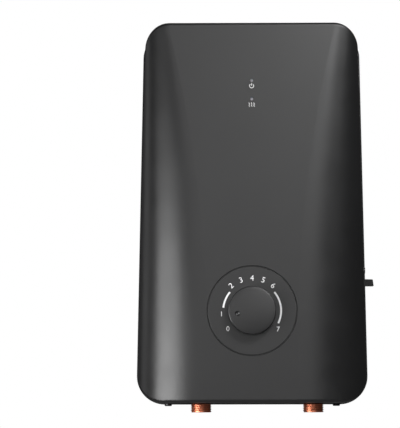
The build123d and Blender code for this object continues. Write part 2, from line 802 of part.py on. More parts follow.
# Screws of the lid and of the tank's ears
bolt_ring = [
    (tank_x + lid_bolt_circle * cos(pi * (2 * i + 1) / lid_bolt_count),
     -tank_depth + lid_bolt_circle * sin(pi * (2 * i + 1) / lid_bolt_count))
    for i in range(lid_bolt_count)
]
finish(screw_group(Plane.XY.offset(lid_flange_top), bolt_ring, board_screw, 11.5), "lid_screws")
ear_seat = front(tank_ear_depth + tank_ear_thickness)
finish(screw_group(ear_seat, tank_ears, case_screw, tank_ear_thickness + 7.0), "tank_screws")

# Heating element: one tube bent to and fro, its ends up through the lid
element_low = tank_bottom + tank_wall + element_radius + 3.0
element_high = tank_top - 2 * element_radius - 8.0
element_top = dome_top + 16.0
element_route = [
    at(tank_x - element_reach, tank_depth, element_top),
    at(tank_x - element_reach, tank_depth, element_low),
    at(tank_x - element_bend, tank_depth, element_low),
    at(tank_x - element_bend, tank_depth, element_high),
    at(tank_x + element_bend, tank_depth, element_high),
    at(tank_x + element_bend, tank_depth, element_low),
    at(tank_x + element_reach, tank_depth, element_low),
    at(tank_x + element_reach, tank_depth, element_top),
]
finish(tube_along(element_route, element_radius, [element_bend - 0.1] * 6), "heating_element")

with BuildPart() as element_nuts:
    with BuildSketch(Plane.XY.offset(dome_top)):
        with Locations(*element_places):
            RegularPolygon(6.0, 6, major_radius=False)
            Circle(element_radius + screw_fit, mode=Mode.SUBTRACT)
    extrude(amount=4.5)
finish(element_nuts.part, "element_nuts")

# Thermal cut-out on the lid, with its two tabs
with BuildPart() as thermal_cutout:
    with BuildSketch(Plane.XY.offset(dome_top)):
        with Locations((tank_x, -tank_depth)):
            Circle(8.0)
    extrude(amount=3.0)
    with BuildSketch(Plane.XY.offset(dome_top + 3.0)):
        with Locations((tank_x, -tank_depth)):
            Circle(6.8)
    extrude(amount=6.0)
    with BuildSketch(Plane.XY.offset(dome_top + 9.0)):
        with Locations((tank_x, -tank_depth - 4.0), (tank_x, -tank_depth + 4.0)):
            Rectangle(6.3, 0.8)
    extrude(amount=7.0)
finish(thermal_cutout.part, "thermal_cutout")

# Earth stud on the lid's flange
with BuildPart() as earth_stud:
    with BuildSketch(Plane.XY.offset(dome_top)):
        with Locations((tank_x, -tank_depth - 17.0)):
            RegularPolygon(4.0, 6, major_radius=False)
    extrude(amount=3.0)
    with BuildSketch(Plane.XY.offset(dome_top + 3.0)):
        with Locations((tank_x, -tank_depth - 17.0)):
            Circle(2.0)
    extrude(amount=7.0)
finish(earth_stud.part, "earth_stud")


def connection(x, body_radius, body_top, socket_radius, socket_depth):
    """Threaded water connection: male thread below the foot, hexagon on it, round body above."""
    with BuildPart() as fitting:
        with BuildSketch(Plane.XY.offset(thread_end)):
            with Locations((x, -water_depth)):
                Circle(thread_radius)
        extrude(amount=thread_start - thread_end)
        chamfer(fitting.faces().sort_by(Axis.Z)[0].edges(), 1.0)
        # Plain neck where it passes through the foot
        with BuildSketch(Plane.XY.offset(thread_start)):
            with Locations((x, -water_depth)):
                Circle(neck_radius)
        extrude(amount=foot_top - thread_start)
        with BuildSketch(Plane.XY.offset(foot_top)):
            with Locations((x, -water_depth)):
                RegularPolygon(hex_width / 2, 6, major_radius=False)
        extrude(amount=hex_height)
        with BuildSketch(Plane.XY.offset(hex_top)):
            with Locations((x, -water_depth)):
                Circle(body_radius)
        extrude(amount=body_top - hex_top)
        with BuildSketch(Plane.XY.offset(thread_end)):
            with Locations((x, -water_depth)):
                Circle(bore_radius)
        extrude(amount=foot_top + 5.0 - thread_end, mode=Mode.SUBTRACT)
        with BuildSketch(Plane.XY.offset(thread_end)):
            with Locations((x, -water_depth)):
                Circle(pipe_radius - pipe_wall)
        extrude(amount=body_top - thread_end, mode=Mode.SUBTRACT)
        if socket_depth:
            with BuildSketch(Plane.XY.offset(body_top)):
                with Locations((x, -water_depth)):
                    Circle(socket_radius)
            extrude(amount=-socket_depth, mode=Mode.SUBTRACT)
            with BuildSketch(Plane.XY.offset(body_top)):
                with Locations((x, -water_depth)):
                    Circle(pipe_radius + 1.9)
            extrude(amount=-2.0, mode=Mode.SUBTRACT)
    return fitting.part


outlet_top = clamp_z + clamp_width / 2 + 12.0
spigot_radius = 8.0
outlet_fitting = connection(outlet_x, fitting_body_radius, outlet_top, pipe_radius + screw_fit, 12.0)
finish(outlet_fitting, "outlet_connection")
finish(connection(inlet_x, spigot_radius, valve_bottom + 12.0, 0.0, 0.0), "inlet_connection")

# Strainer inside the inlet
strainer_top = foot_top + 5.0
with BuildPart() as inlet_strainer:
    with BuildSketch(Plane.XY.offset(thread_end + 2.0)):
        with Locations((inlet_x, -water_depth)):
            Circle(bore_radius - screw_fit)
    extrude(amount=1.2)
    with BuildSketch(Plane.XY.offset(thread_end + 3.2)):
        with Locations((inlet_x, -water_depth)):
            Circle(bore_radius - 1.2)
    extrude(amount=strainer_top - thread_end - 3.2)
    with BuildSketch(Plane.XY.offset(thread_end + 2.0)):
        with Locations((inlet_x, -water_depth)):
            Circle(bore_radius - 2.2)
    extrude(amount=strainer_top - thread_end - 3.0, mode=Mode.SUBTRACT)
    with BuildSketch(Plane.XY.offset(thread_end + 5.0)):
        with Locations((inlet_x, -water_depth)):
            with PolarLocations(bore_radius - 1.5, 8):
                Rectangle(4.0, 1.6)
    extrude(amount=strainer_top - thread_end - 7.0, mode=Mode.SUBTRACT)
finish(inlet_strainer.part, "inlet_strainer")

# Flow valve with its ears
chamber_bottom = valve_bottom + 12.5
chamber_top = valve_top - 10.0
socket_depth = 8.0
valve_front = water_depth + valve_depth / 2
with BuildPart() as flow_valve:
    with BuildSketch(Plane.XY.offset(valve_bottom)):
        with Locations((inlet_x, -water_depth)):
            RectangleRounded(valve_width, valve_depth, 4.0)
    extrude(amount=valve_top - valve_bottom)
    with BuildSketch(front(valve_near)):
        for height in (valve_ears[0][1], valve_ears[1][1]):
            with Locations((inlet_x, height)):
                SlotOverall(valve_width + 4 * boss_radius, 2 * boss_radius)
    extrude(amount=4.0)
    drills = (
        (inlet_x, valve_bottom, spigot_radius + screw_fit, 12.5),
        (inlet_x, chamber_bottom, piston_radius + running_fit, chamber_top - chamber_bottom),
        (inlet_pipe_x, chamber_top - 4.0, pipe_radius - pipe_wall, 8.0),
        (inlet_pipe_x, valve_top - socket_depth, pipe_radius + screw_fit, socket_depth),
        (inlet_pipe_x, valve_top - 2.0, pipe_radius + 1.9, 2.0),
    )
    for x, height, radius, length in drills:
        with BuildSketch(Plane.XY.offset(height)):
            with Locations((x, -water_depth)):
                Circle(radius)
        extrude(amount=length, mode=Mode.SUBTRACT)
    with BuildSketch(front(valve_near + 4.0)):
        with Locations(*valve_ears):
            Circle(board_screw[0] / 2 + screw_fit)
    extrude(amount=-4.0, mode=Mode.SUBTRACT)
    with BuildSketch(front(valve_front)):
        with Locations(*[(inlet_x + x, switch_z) for x in (-11.5, 11.5)]):
            Circle(small_screw[0] / 2 + screw_fit)
    extrude(amount=-5.0, mode=Mode.SUBTRACT)
finish(flow_valve.part, "flow_valve")
finish(screw_group(front(valve_near + 4.0), valve_ears, board_screw, 12.0), "valve_screws")

# Magnet piston that the flow lifts
piston_bottom = chamber_bottom + part_gap
with BuildPart() as flow_piston:
    with BuildSketch(Plane.XY.offset(piston_bottom)):
        with Locations((inlet_x, -water_depth)):
            Circle(piston_radius)
            with PolarLocations(piston_radius, 4, start_angle=45):
                Circle(1.6, mode=Mode.SUBTRACT)
    extrude(amount=piston_height)
finish(flow_piston.part, "flow_piston")

# Spring that presses the piston down
spring_bottom = piston_bottom + piston_height
with BuildPart() as piston_spring:
    with BuildLine() as coil:
        coil_start = (inlet_x, -water_depth, spring_bottom + 0.7)
        Helix(3.4, chamber_top - spring_bottom - 1.4, 4.6, center=coil_start)
    with BuildSketch(Plane(origin=coil.line @ 0, z_dir=coil.line % 0)):
        Circle(0.45)
    sweep(path=coil.line)
finish(piston_spring.part, "piston_spring")

# Flow switch on the valve's face, beside the piston
switch_places = [(inlet_x + x, switch_z) for x in (-11.5, 11.5)]
with BuildPart() as flow_switch:
    with BuildSketch(front(valve_front)):
        with Locations((inlet_x, switch_z)):
            RectangleRounded(29.0, 10.0, 1.5)
        with Locations(*switch_places):
            Circle(small_screw[0] / 2 + screw_fit, mode=Mode.SUBTRACT)
    extrude(amount=3.0)
    with BuildSketch(front(valve_front + 3.0)):
        with Locations((inlet_x, switch_z)):
            Rectangle(16.0, 10.0)
    extrude(amount=3.0)
finish(flow_switch.part, "flow_switch")
finish(screw_group(front(valve_front + 3.0), switch_places, small_screw, 7.0), "switch_screws")

# Pipes
inlet_route = [
    at(inlet_pipe_x, water_depth, valve_top - socket_depth + 0.5),
    at(inlet_pipe_x, water_depth, port_bottom - 12.0),
    at(inlet_port_x, water_depth, port_bottom - 12.0),
    at(inlet_port_x, water_depth, tank_bottom - 0.5),
]
finish(tube_along(inlet_route, pipe_radius, [14.0, 12.0], pipe_radius - pipe_wall), "inlet_pipe")
outlet_route = [
    at(outlet_port_x, water_depth, tank_bottom - 0.5),
    at(outlet_port_x, water_depth, port_bottom - 6.0),
    at(outlet_x, water_depth, port_bottom - 22.0),
    at(outlet_x, water_depth, outlet_top - 11.5),
]
finish(tube_along(outlet_route, pipe_radius, [14.0, 14.0], pipe_radius - pipe_wall), "outlet_pipe")

# Seal rings at the four pipe ends
with BuildPart() as pipe_seals:
    for x, height in (
        (inlet_port_x, port_bottom + 0.2),
        (outlet_port_x, port_bottom + 0.2),
        (inlet_pipe_x, valve_top - 2.0),
        (outlet_x, outlet_top - 2.0),
    ):
        with BuildSketch(Plane.XY.offset(height)):
            with Locations((x, -water_depth)):
                Circle(pipe_radius + 1.8)
                Circle(pipe_radius + screw_fit, mode=Mode.SUBTRACT)
        extrude(amount=1.8)
finish(pipe_seals.part, "pipe_seals")

# Strap that holds the outlet connection in its saddle
strap_near = water_depth + part_gap
strap_thickness = 3.5
with BuildPart() as outlet_strap:
    with BuildSketch(Plane.XY.offset(clamp_z - clamp_width / 2)):
        with Locations((outlet_x, -water_depth)):
            Circle(fitting_body_radius + part_gap + strap_thickness)
        with Locations((outlet_x, -strap_near - strap_thickness / 2)):
            Rectangle(clamp_length, strap_thickness)
        with Locations((outlet_x, -strap_near + 15.0)):
            Rectangle(50.0, 30.0, mode=Mode.SUBTRACT)
        with Locations((outlet_x, -water_depth)):
            Circle(fitting_body_radius + part_gap, mode=Mode.SUBTRACT)
    extrude(amount=clamp_width)
    with BuildSketch(front(strap_near + strap_thickness)):
        with Locations(*clamp_screws):
            Circle(case_screw[0] / 2 + screw_fit)
    extrude(amount=-strap_thickness, mode=Mode.SUBTRACT)
finish(outlet_strap.part, "outlet_strap")
finish(screw_group(front(strap_near + strap_thickness), clamp_screws, case_screw, 14.0), "strap_screws")

# Water temperature sensor, clipped round the outlet pipe
sensor_z = foot_top + 56.0
with BuildPart() as temperature_sensor:
    with BuildSketch(Plane.XY.offset(sensor_z)):
        with Locations((outlet_x, -water_depth)):
            Circle(pipe_radius + 1.8)
            with Locations((0, -pipe_radius - 2.5)):
                Rectangle(7.0, 6.0)
            Circle(pipe_radius + screw_fit, mode=Mode.SUBTRACT)
            with Locations((0, pipe_radius + 1.0)):
                Rectangle(6.0, 6.0, mode=Mode.SUBTRACT)
    extrude(amount=10.0)
finish(temperature_sensor.part, "temperature_sensor")

# Earth leakage breaker: case with flanges, and pockets for the lever and the button
pocket_near = lever_depth - lever_width / 2 - 1.0
button_z = breaker_z + button_offset
with BuildPart() as breaker_body:
    with BuildSketch(front(breaker_near)):
        with Locations(((breaker_inner_x + breaker_outer_x) / 2, breaker_z)):
            RectangleRounded(breaker_outer_x - breaker_inner_x, breaker_height, 2.0)
    extrude(amount=breaker_far - breaker_near)
    fillet(breaker_body.faces().sort_by(Axis.Y)[0].edges(), 1.2)
    with BuildSketch(front(breaker_near)):
        with Locations(((breaker_inner_x + breaker_outer_x) / 2, breaker_z)):
            RectangleRounded(breaker_outer_x - breaker_inner_x, breaker_height + 16.0, 3.0)
    extrude(amount=4.0)
    with BuildSketch(front(breaker_near + 4.0)):
        with Locations(*breaker_ears):
            Circle(board_screw[0] / 2 + screw_fit)
    extrude(amount=-4.0, mode=Mode.SUBTRACT)
    # Pocket for the lever's hub
    with BuildSketch(front(pocket_near)):
        with Locations((lever_pivot_x, breaker_z)):
            Circle(hub_radius + 1.0)
        with Locations((breaker_outer_x - 1.0, breaker_z - 3.0)):
            Rectangle(2 * (breaker_outer_x - lever_pivot_x) - 2.0, 15.0)
    extrude(amount=lever_width + 2.0, mode=Mode.SUBTRACT)
    # Bore for the lever's pin
    with BuildSketch(front(pocket_near - 4.0)):
        with Locations((lever_pivot_x, breaker_z)):
            Circle(pivot_radius + 0.02)
    extrude(amount=lever_width + 10.0, mode=Mode.SUBTRACT)
    # Pocket for the button
    with BuildSketch(Plane.YZ.offset(breaker_outer_x)):
        with Locations((-lever_depth, button_z)):
            Circle(button_radius + 1.6)
    extrude(amount=-9.0, mode=Mode.SUBTRACT)
    # Wire holes in both ends
    with BuildSketch(Plane.XY.offset(breaker_z + breaker_height / 2)):
        with Locations((live_x, -lever_depth), (neutral_x, -lever_depth)):
            Circle(wire_radius + 0.7)
    extrude(amount=-8.0, mode=Mode.SUBTRACT)
    with BuildSketch(Plane.XY.offset(breaker_z - breaker_height / 2)):
        with Locations((live_x, -lever_depth), (neutral_x, -lever_depth)):
            Circle(wire_radius + 0.7)
    extrude(amount=8.0, mode=Mode.SUBTRACT)
finish(breaker_body.part, "breaker_body")

# Bezel that fills the notch in the cover's side
bezel_top = breaker_z + bezel_height / 2
bezel_near_x = half_width(bezel_top) - cover_rear * tan(radians(side_draft)) - part_gap
bezel_far_x = half_width(bezel_top) - bezel_far * tan(radians(side_draft)) - part_gap
slot_top = breaker_z + lever_width / 2 + 1.4
slot_bottom = breaker_z - (bezel_near_x - lever_pivot_x) * sin(radians(lever_travel)) - lever_width / 2 - 1.5
with BuildPart() as breaker_bezel:
    with BuildSketch(Plane.XY.offset(breaker_z - bezel_height / 2)):
        with BuildLine():
            Polyline(
                (breaker_outer_x, -cover_rear),
                (bezel_near_x, -cover_rear),
                (bezel_far_x, -bezel_far),
                (breaker_outer_x, -bezel_far),
                close=True,
            )
        make_face()
    extrude(amount=bezel_height)
    with BuildSketch(Plane.YZ.offset(breaker_outer_x)):
        with Locations((-lever_depth, (slot_top + slot_bottom) / 2)):
            Rectangle(lever_width + 1.0, slot_top - slot_bottom)
    extrude(amount=20.0, mode=Mode.SUBTRACT)
    with BuildSketch(Plane.YZ.offset(breaker_outer_x)):
        with Locations((-lever_depth, button_z)):
            Circle(button_radius + running_fit)
    extrude(amount=20.0, mode=Mode.SUBTRACT)
finish(breaker_bezel.part, "breaker_bezel")

# Lever on its pin
with BuildPart() as breaker_lever:
    with BuildSketch(front(lever_depth - lever_width / 2)):
        with Locations((lever_pivot_x, breaker_z)):
            Circle(hub_radius)
        with BuildLine():
            Polyline(
                (lever_pivot_x, breaker_z + lever_width / 2 + 0.4),
                (lever_tip_x, breaker_z + lever_width / 2 - 0.3),
                (lever_tip_x + 1.0, breaker_z - lever_width / 2),
                (lever_pivot_x, breaker_z - lever_width / 2),
                close=True,
            )
        make_face()
        with Locations((lever_pivot_x, breaker_z)):
            Circle(pivot_radius + 0.05, mode=Mode.SUBTRACT)
    extrude(amount=lever_width)
    tip_edges = breaker_lever.faces().sort_by(Axis.X)[-1].edges()
    fillet(tip_edges, 0.8)
finish(breaker_lever.part, "breaker_lever")

with BuildPart() as lever_pin:
    with BuildSketch(front(pocket_near - 3.5)):
        with Locations((lever_pivot_x, breaker_z)):
            Circle(pivot_radius)
    extrude(amount=lever_width + 9.0)
finish(lever_pin.part, "lever_pin")

# Test button with its collar, and the spring behind it
button_proud = 1.8
button_tip = bezel_near_x - (lever_depth - cover_rear) * tan(radians(side_draft)) + button_proud
collar_thickness = 1.4
collar_x = breaker_outer_x - collar_thickness - 0.1
with BuildPart() as test_button:
    with BuildSketch(Plane.YZ.offset(collar_x)):
        with Locations((-lever_depth, button_z)):
            Circle(button_radius)
    extrude(amount=button_tip - collar_x)
    fillet(test_button.faces().sort_by(Axis.X)[-1].edges(), 0.5)
    with BuildSketch(Plane.YZ.offset(collar_x)):
        with Locations((-lever_depth, button_z)):
            Circle(button_radius + 1.0)
    extrude(amount=collar_thickness)
finish(test_button.part, "test_button")

button_spring_near = breaker_outer_x - 9.0
with BuildPart() as button_spring:
    spring_start = (button_spring_near + 0.5, -lever_depth, button_z)
    with BuildLine() as button_coil:
        Helix(1.5, collar_x - button_spring_near - 1.0, 2.8, center=spring_start, direction=(1, 0, 0))
    with BuildSketch(Plane(origin=button_coil.line @ 0, z_dir=button_coil.line % 0)):
        Circle(0.3)
    sweep(path=button_coil.line)
finish(button_spring.part, "button_spring")

# Terminal block with a screw well and a wire way for each pole
poles = [(terminal_x + i * terminal_pitch, terminal_z) for i in (-1, 0, 1)]
terminal_far = terminal_near + 20.0
terminal_height = 22.0
with BuildPart() as terminal_block:
    with BuildSketch(front(terminal_near)):
        with Locations((terminal_x, terminal_z)):
            Rectangle(3 * terminal_pitch - 1.0, terminal_height)
    extrude(amount=terminal_far - terminal_near)
    chamfer(terminal_block.faces().sort_by(Axis.Y)[0].edges().filter_by(Axis.X), 3.0)
    with BuildSketch(front(terminal_near)):
        with Locations((terminal_x, terminal_z)):
            Rectangle(3 * terminal_pitch + 16.0, 10.0)
    extrude(amount=4.0)
    with BuildSketch(front(terminal_near + 4.0)):
        with Locations(*terminal_holes):
            Circle(board_screw[0] / 2 + screw_fit)
    extrude(amount=-4.0, mode=Mode.SUBTRACT)
    with BuildSketch(front(terminal_far)):
        with Locations(*poles):
            Circle(3.4)
    extrude(amount=-7.0, mode=Mode.SUBTRACT)
    with BuildSketch(front(terminal_far - 7.0)):
        with Locations(*poles):
            Circle(case_screw[0] / 2 + screw_fit)
    extrude(amount=-5.0, mode=Mode.SUBTRACT)
    with BuildSketch(Plane.XY.offset(terminal_z - terminal_height / 2)):
        with Locations(*[(x, -terminal_near - 6.0) for x, z in poles]):
            Rectangle(6.0, 5.0)
    extrude(amount=8.0, mode=Mode.SUBTRACT)
    with BuildSketch(Plane.XY.offset(terminal_z + terminal_height / 2)):
        with Locations(*[(x, -terminal_near - 6.0) for x, z in poles]):
            Rectangle(6.0, 5.0)
    extrude(amount=-8.0, mode=Mode.SUBTRACT)
finish(terminal_block.part, "terminal_block")
pole_screw = (case_screw[0], 6.0, case_screw[2])
with BuildPart() as terminal_screws:
    add(screw_group(front(terminal_far - 7.0), poles, pole_screw, 4.6))
    add(screw_group(front(terminal_near + 4.0), terminal_holes, board_screw, 10.0))
finish(terminal_screws.part, "terminal_screws")

# Cable grommet in the back plate, and the clamp bar below it
with BuildPart() as cable_grommet:
    with BuildSketch(front(part_gap)):
        with Locations((grommet_x, grommet_z)):
            Circle(cable_radius + 2.9)
    extrude(amount=base_thickness - part_gap)
    with BuildSketch(front(base_thickness)):
        with Locations((grommet_x, grommet_z)):
            Circle(cable_radius + 5.5)
    extrude(amount=2.4)
    fillet(cable_grommet.edges().filter_by(GeomType.CIRCLE).sort_by(Axis.Y)[0], 1.0)
    with BuildSketch(front(0)):
        with Locations((grommet_x, grommet_z)):
            Circle(cable_radius)
    extrude(amount=base_thickness + 3.0, mode=Mode.SUBTRACT)
finish(cable_grommet.part, "cable_grommet")

with BuildPart() as cable_clamp:
    with BuildSketch(front(clamp_near)):
        with Locations((grommet_x, cable_clamp_z)):
            SlotOverall(33.0, 9.0)
        with Locations(*cable_clamp_holes):
            Circle(board_screw[0] / 2 + screw_fit, mode=Mode.SUBTRACT)
    extrude(amount=3.5)
    fillet(cable_clamp.faces().sort_by(Axis.Y)[0].edges().filter_by(Axis.X), 1.0)
finish(cable_clamp.part, "cable_clamp")

# Finned heat sink with the triac on it
with BuildPart() as heat_sink:
    with BuildSketch(front(sink_near)):
        with Locations((sink_x, sink_z)):
            Rectangle(56.0, 46.0)
        with Locations(*sink_holes):
            Circle(board_screw[0] / 2 + screw_fit, mode=Mode.SUBTRACT)
    extrude(amount=4.0)
    with BuildSketch(front(sink_near + 3.5)):
        with Locations((sink_x, sink_z + 5.0)):
            with GridLocations(4.6, 1.0, 8, 1):
                Rectangle(1.4, 34.0)
    extrude(amount=13.0)
    with BuildSketch(front(sink_near + 4.0)):
        with Locations((sink_x, sink_z - 5.0)):
            Rectangle(20.0, 28.0)
    extrude(amount=20.0, mode=Mode.SUBTRACT)
finish(heat_sink.part, "heat_sink")

# Screws of the breaker, the clamp bar and the heat sink
with BuildPart() as mounting_screws:
    add(screw_group(front(breaker_near + 4.0), breaker_ears, board_screw, 9.0))
    add(screw_group(front(clamp_near + 3.5), cable_clamp_holes, board_screw, 11.0))
    add(screw_group(front(sink_near + 4.0), sink_holes, board_screw, 10.0))
finish(mounting_screws.part, "mounting_screws")

with BuildPart() as triac:
    with BuildSketch(front(sink_near + 4.0)):
        with Locations((sink_x, sink_z - 6.0)):
            Rectangle(15.6, 20.0)
    extrude(amount=4.8)
    fillet(triac.faces().sort_by(Axis.Y)[0].edges(), 0.8)
    with BuildSketch(front(sink_near + 6.0)):
        for x in (-5.4, 0.0, 5.4):
            with Locations((sink_x + x, sink_z - 20.0)):
                Rectangle(1.3, 10.0)
    extrude(amount=0.7)
finish(triac.part, "triac")

# Wires along their routes
pole_low = terminal_z - terminal_height / 2
wire_depth = terminal_near + 6.0
breaker_high = breaker_z + breaker_height / 2
breaker_low = breaker_z - breaker_height / 2
ring_height = dome_top + 4.5 + wire_radius + part_gap
live_route = [
    at(poles[0][0], wire_depth, pole_low + 5.0),
    at(poles[0][0], wire_depth, pole_low - 9.0),
    at(poles[0][0] - 8.0, wire_depth + 22.0, pole_low - 24.0),
    at(poles[0][0] - 2.0, wire_depth + 32.0, pole_low - 52.0),
    at(poles[0][0] + 14.0, wire_depth + 32.0, pole_low - 78.0),
    at(live_x, lever_depth + 12.0, breaker_high + 18.0),
    at(live_x, lever_depth, breaker_high + 8.0),
    at(live_x, lever_depth, breaker_high - 6.0),
]
neutral_route = [
    at(poles[1][0], wire_depth, pole_low + 5.0),
    at(poles[1][0], wire_depth, pole_low - 10.0),
    at(poles[1][0] + 12.0, wire_depth + 21.0, pole_low - 25.0),
    at(poles[1][0] + 20.0, wire_depth + 30.0, pole_low - 52.0),
    at(poles[1][0] + 28.0, wire_depth + 26.0, pole_low - 79.0),
    at(neutral_x, lever_depth + 10.0, breaker_high + 17.0),
    at(neutral_x, lever_depth, breaker_high + 8.0),
    at(neutral_x, lever_depth, breaker_high - 6.0),
]
earth_route = [
    at(poles[2][0], wire_depth, pole_low + 5.0),
    at(poles[2][0], wire_depth, pole_low - 8.0),
    at(poles[2][0] - 8.0, wire_depth + 26.0, pole_low - 18.0),
    at(poles[1][0] - 4.0, wire_depth + 44.0, pole_low - 16.0),
    at(poles[0][0] - 20.0, wire_depth + 50.0, pole_low + 12.0),
    at(poles[0][0] - 44.0, wire_depth + 50.0, pole_low + 26.0),
    at(tank_x + 8.0, tank_depth + 19.0, dome_top + 9.0),
    at(tank_x + 2.0 + wire_radius + part_gap, tank_depth + 17.0, dome_top + 5.0),
]
heater_live_route = [
    at(sink_x, sink_near + 6.35, sink_z - 25.0),
    at(sink_x, sink_near + 6.35, sink_z - 33.0),
    at(sink_x - 16.0, sink_near + 16.0, sink_z - 34.0),
    at(sink_x - 34.0, sink_near + 22.0, sink_z - 20.0),
    at(sink_x - 37.0, sink_near + 26.0, sink_z + 10.0),
    at(sink_x - 37.0, sink_near + 34.0, sink_z + 45.0),
    at(tank_x + element_reach + 20.0, tank_depth + 2.0, dome_top + 9.0),
    at(tank_x + element_reach + 9.0, tank_depth, ring_height + 2.0),
    at(tank_x + element_reach + element_radius + part_gap, tank_depth, ring_height + 2.0),
]
heater_neutral_route = [
    at(live_x, lever_depth, breaker_low + 6.0),
    at(live_x, lever_depth, breaker_low - 7.0),
    at(live_x - 8.0, lever_depth + 20.0, breaker_low - 8.0),
    at(live_x - 26.0, lever_depth + 23.0, breaker_low + 8.0),
    at(live_x - 40.0, lever_depth + 24.0, breaker_low + 34.0),
    at(live_x - 52.0, lever_depth + 22.0, breaker_low + 62.0),
    at(22.0, lever_depth + 28.0, tank_bottom + 34.0),
    at(20.0, lever_depth + 34.0, tank_bottom + 74.0),
    at(18.0, lever_depth + 32.0, tank_top - 10.0),
    at(15.0, lever_depth + 30.0, dome_top + 13.0),
    at(2.0, tank_depth - 12.0, dome_top + 20.0),
    at(-20.0, tank_depth - 16.0, dome_top + 22.0),
    at(tank_x - element_reach, tank_depth - 14.0, dome_top + 18.0),
    at(tank_x - element_reach, tank_depth - 6.0, ring_height + 2.0),
    at(tank_x - element_reach, tank_depth - element_radius - part_gap, ring_height + 2.0),
]
live_in_route = [
    at(neutral_x, lever_depth, breaker_low + 6.0),
    at(neutral_x, lever_depth, breaker_low - 7.0),
    at(neutral_x - 5.0, lever_depth + 20.0, breaker_low - 12.0),
    at(neutral_x - 23.0, lever_depth + 31.0, breaker_low - 6.0),
    at(neutral_x - 33.0, lever_depth + 30.0, breaker_low + 18.0),
    at(neutral_x - 33.0, lever_depth + 26.0, breaker_low + 48.0),
    at(neutral_x - 31.0, lever_depth + 12.0, breaker_low + 72.0),
    at(sink_x + 5.4, sink_near + 10.0, sink_z - 42.0),
    at(sink_x + 5.4, sink_near + 6.35, sink_z - 34.0),
    at(sink_x + 5.4, sink_near + 6.35, sink_z - 25.0),
]
board_low = dial_z - board_height / 2
switch_route = [
    at(inlet_x, valve_front + 6.0 + part_gap + wire_radius, switch_z),
    at(inlet_x - 10.0, valve_front + 6.0 + part_gap + wire_radius, switch_z + 1.0),
    at(inlet_x - 24.0, valve_front + 9.0, switch_z + 5.0),
    at(inlet_x - 34.0, board_front + 6.0, board_low - 6.0),
    at(24.0, board_front + 12.0, board_low + 4.0),
    at(24.0, board_front + 7.0, dial_z - 20.0),
    at(24.0, board_front + 3.5, dial_z - 20.0),
]
sensor_route = [
    at(outlet_x, water_depth + pipe_radius + 5.5, sensor_z),
    at(outlet_x, water_depth + pipe_radius + 10.0, sensor_z - 4.0),
    at(outlet_x + 12.0, board_depth - 4.0, board_low - 6.0),
    at(outlet_x + 32.0, board_front + 5.0, board_low - 6.0),
    at(-6.0, board_front + 12.0, board_low + 0.0),
    at(-2.0, board_front + 9.0, dial_z - 26.0),
    at(-2.0, board_front + 3.5, dial_z - 26.0),
]
lead_top = led_board_z - 34.0
lead_run = lead_top - dial_z - 55.6
indicator_route = [
    at(20.0, led_board_depth - part_gap, led_board_z - 10.0),
    at(20.0, led_board_depth - 5.0, led_board_z - 12.0),
    at(19.0, led_board_depth - 9.0, lead_top),
    at(20.0, led_board_depth - 8.0, lead_top - 0.25 * lead_run),
    at(21.0, led_board_depth - 5.0, lead_top - 0.5 * lead_run),
    at(18.0, led_board_depth - 4.0, lead_top - 0.75 * lead_run),
    at(12.0, led_board_depth - 1.0, lead_top - lead_run),
    at(4.0, board_front + 14.0, dial_z + 34.0),
    at(4.0, board_front + 9.0, dial_z + 26.0),
    at(4.0, board_front + 3.5, dial_z + 26.0),
]
wires = {
    "live_wires": (wire_radius, (live_route, live_in_route, heater_live_route)),
    "neutral_wires": (wire_radius, (neutral_route, heater_neutral_route)),
    "earth_wire": (wire_radius, (earth_route,)),
    "signal_leads": (lead_radius, (switch_route, sensor_route, indicator_route)),
}
for name, (radius, bundle) in wires.items():
    with BuildPart() as strands:
        for route in bundle:
            add(tube_along(route, radius))
    finish(strands.part, name)
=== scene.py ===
import bpy
import json
from math import atan2, cos, degrees, pi, radians, sin
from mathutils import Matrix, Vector


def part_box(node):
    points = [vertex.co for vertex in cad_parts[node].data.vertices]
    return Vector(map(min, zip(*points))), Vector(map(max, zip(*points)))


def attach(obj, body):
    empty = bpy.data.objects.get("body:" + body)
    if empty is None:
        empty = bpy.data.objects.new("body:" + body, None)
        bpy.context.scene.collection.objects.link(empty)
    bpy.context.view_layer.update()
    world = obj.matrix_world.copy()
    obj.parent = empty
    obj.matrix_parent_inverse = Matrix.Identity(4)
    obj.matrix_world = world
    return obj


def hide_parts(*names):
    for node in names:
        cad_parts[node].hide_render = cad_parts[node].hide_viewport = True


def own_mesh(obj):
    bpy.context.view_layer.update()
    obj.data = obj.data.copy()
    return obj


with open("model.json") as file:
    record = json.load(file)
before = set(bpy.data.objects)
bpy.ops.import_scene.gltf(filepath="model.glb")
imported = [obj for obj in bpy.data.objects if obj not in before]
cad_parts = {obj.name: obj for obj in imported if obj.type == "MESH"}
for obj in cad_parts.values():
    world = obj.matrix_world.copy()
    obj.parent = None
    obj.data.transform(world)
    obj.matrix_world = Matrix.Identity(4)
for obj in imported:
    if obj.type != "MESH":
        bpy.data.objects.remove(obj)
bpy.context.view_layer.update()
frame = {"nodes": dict(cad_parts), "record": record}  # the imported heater, its front faces -Y and the wall is Y = 0
nodes = frame["nodes"]
print("frame loaded:", len(nodes), "nodes")


# Small helpers for modelling
def deselectAll():
    if bpy.context.object and bpy.context.object.mode != "OBJECT":
        bpy.ops.object.mode_set(mode="OBJECT")
    bpy.ops.object.select_all(action="DESELECT")


def startEdit(piece, mode="VERT"):  # clears what is picked, ready for pickVerts, pickFaces or editAll
    deselectAll()
    bpy.context.view_layer.objects.active = piece
    piece.select_set(True)
    bpy.ops.object.mode_set(mode="EDIT")
    bpy.ops.mesh.select_mode(type=mode)
    bpy.ops.mesh.select_all(action="DESELECT")
    bpy.ops.object.mode_set(mode="OBJECT")


def pickVerts(piece, wanted):  # marks vertices by their place, then opens edit mode
    for v in piece.data.vertices:
        v.select = wanted(v.co)
    bpy.ops.object.mode_set(mode="EDIT")


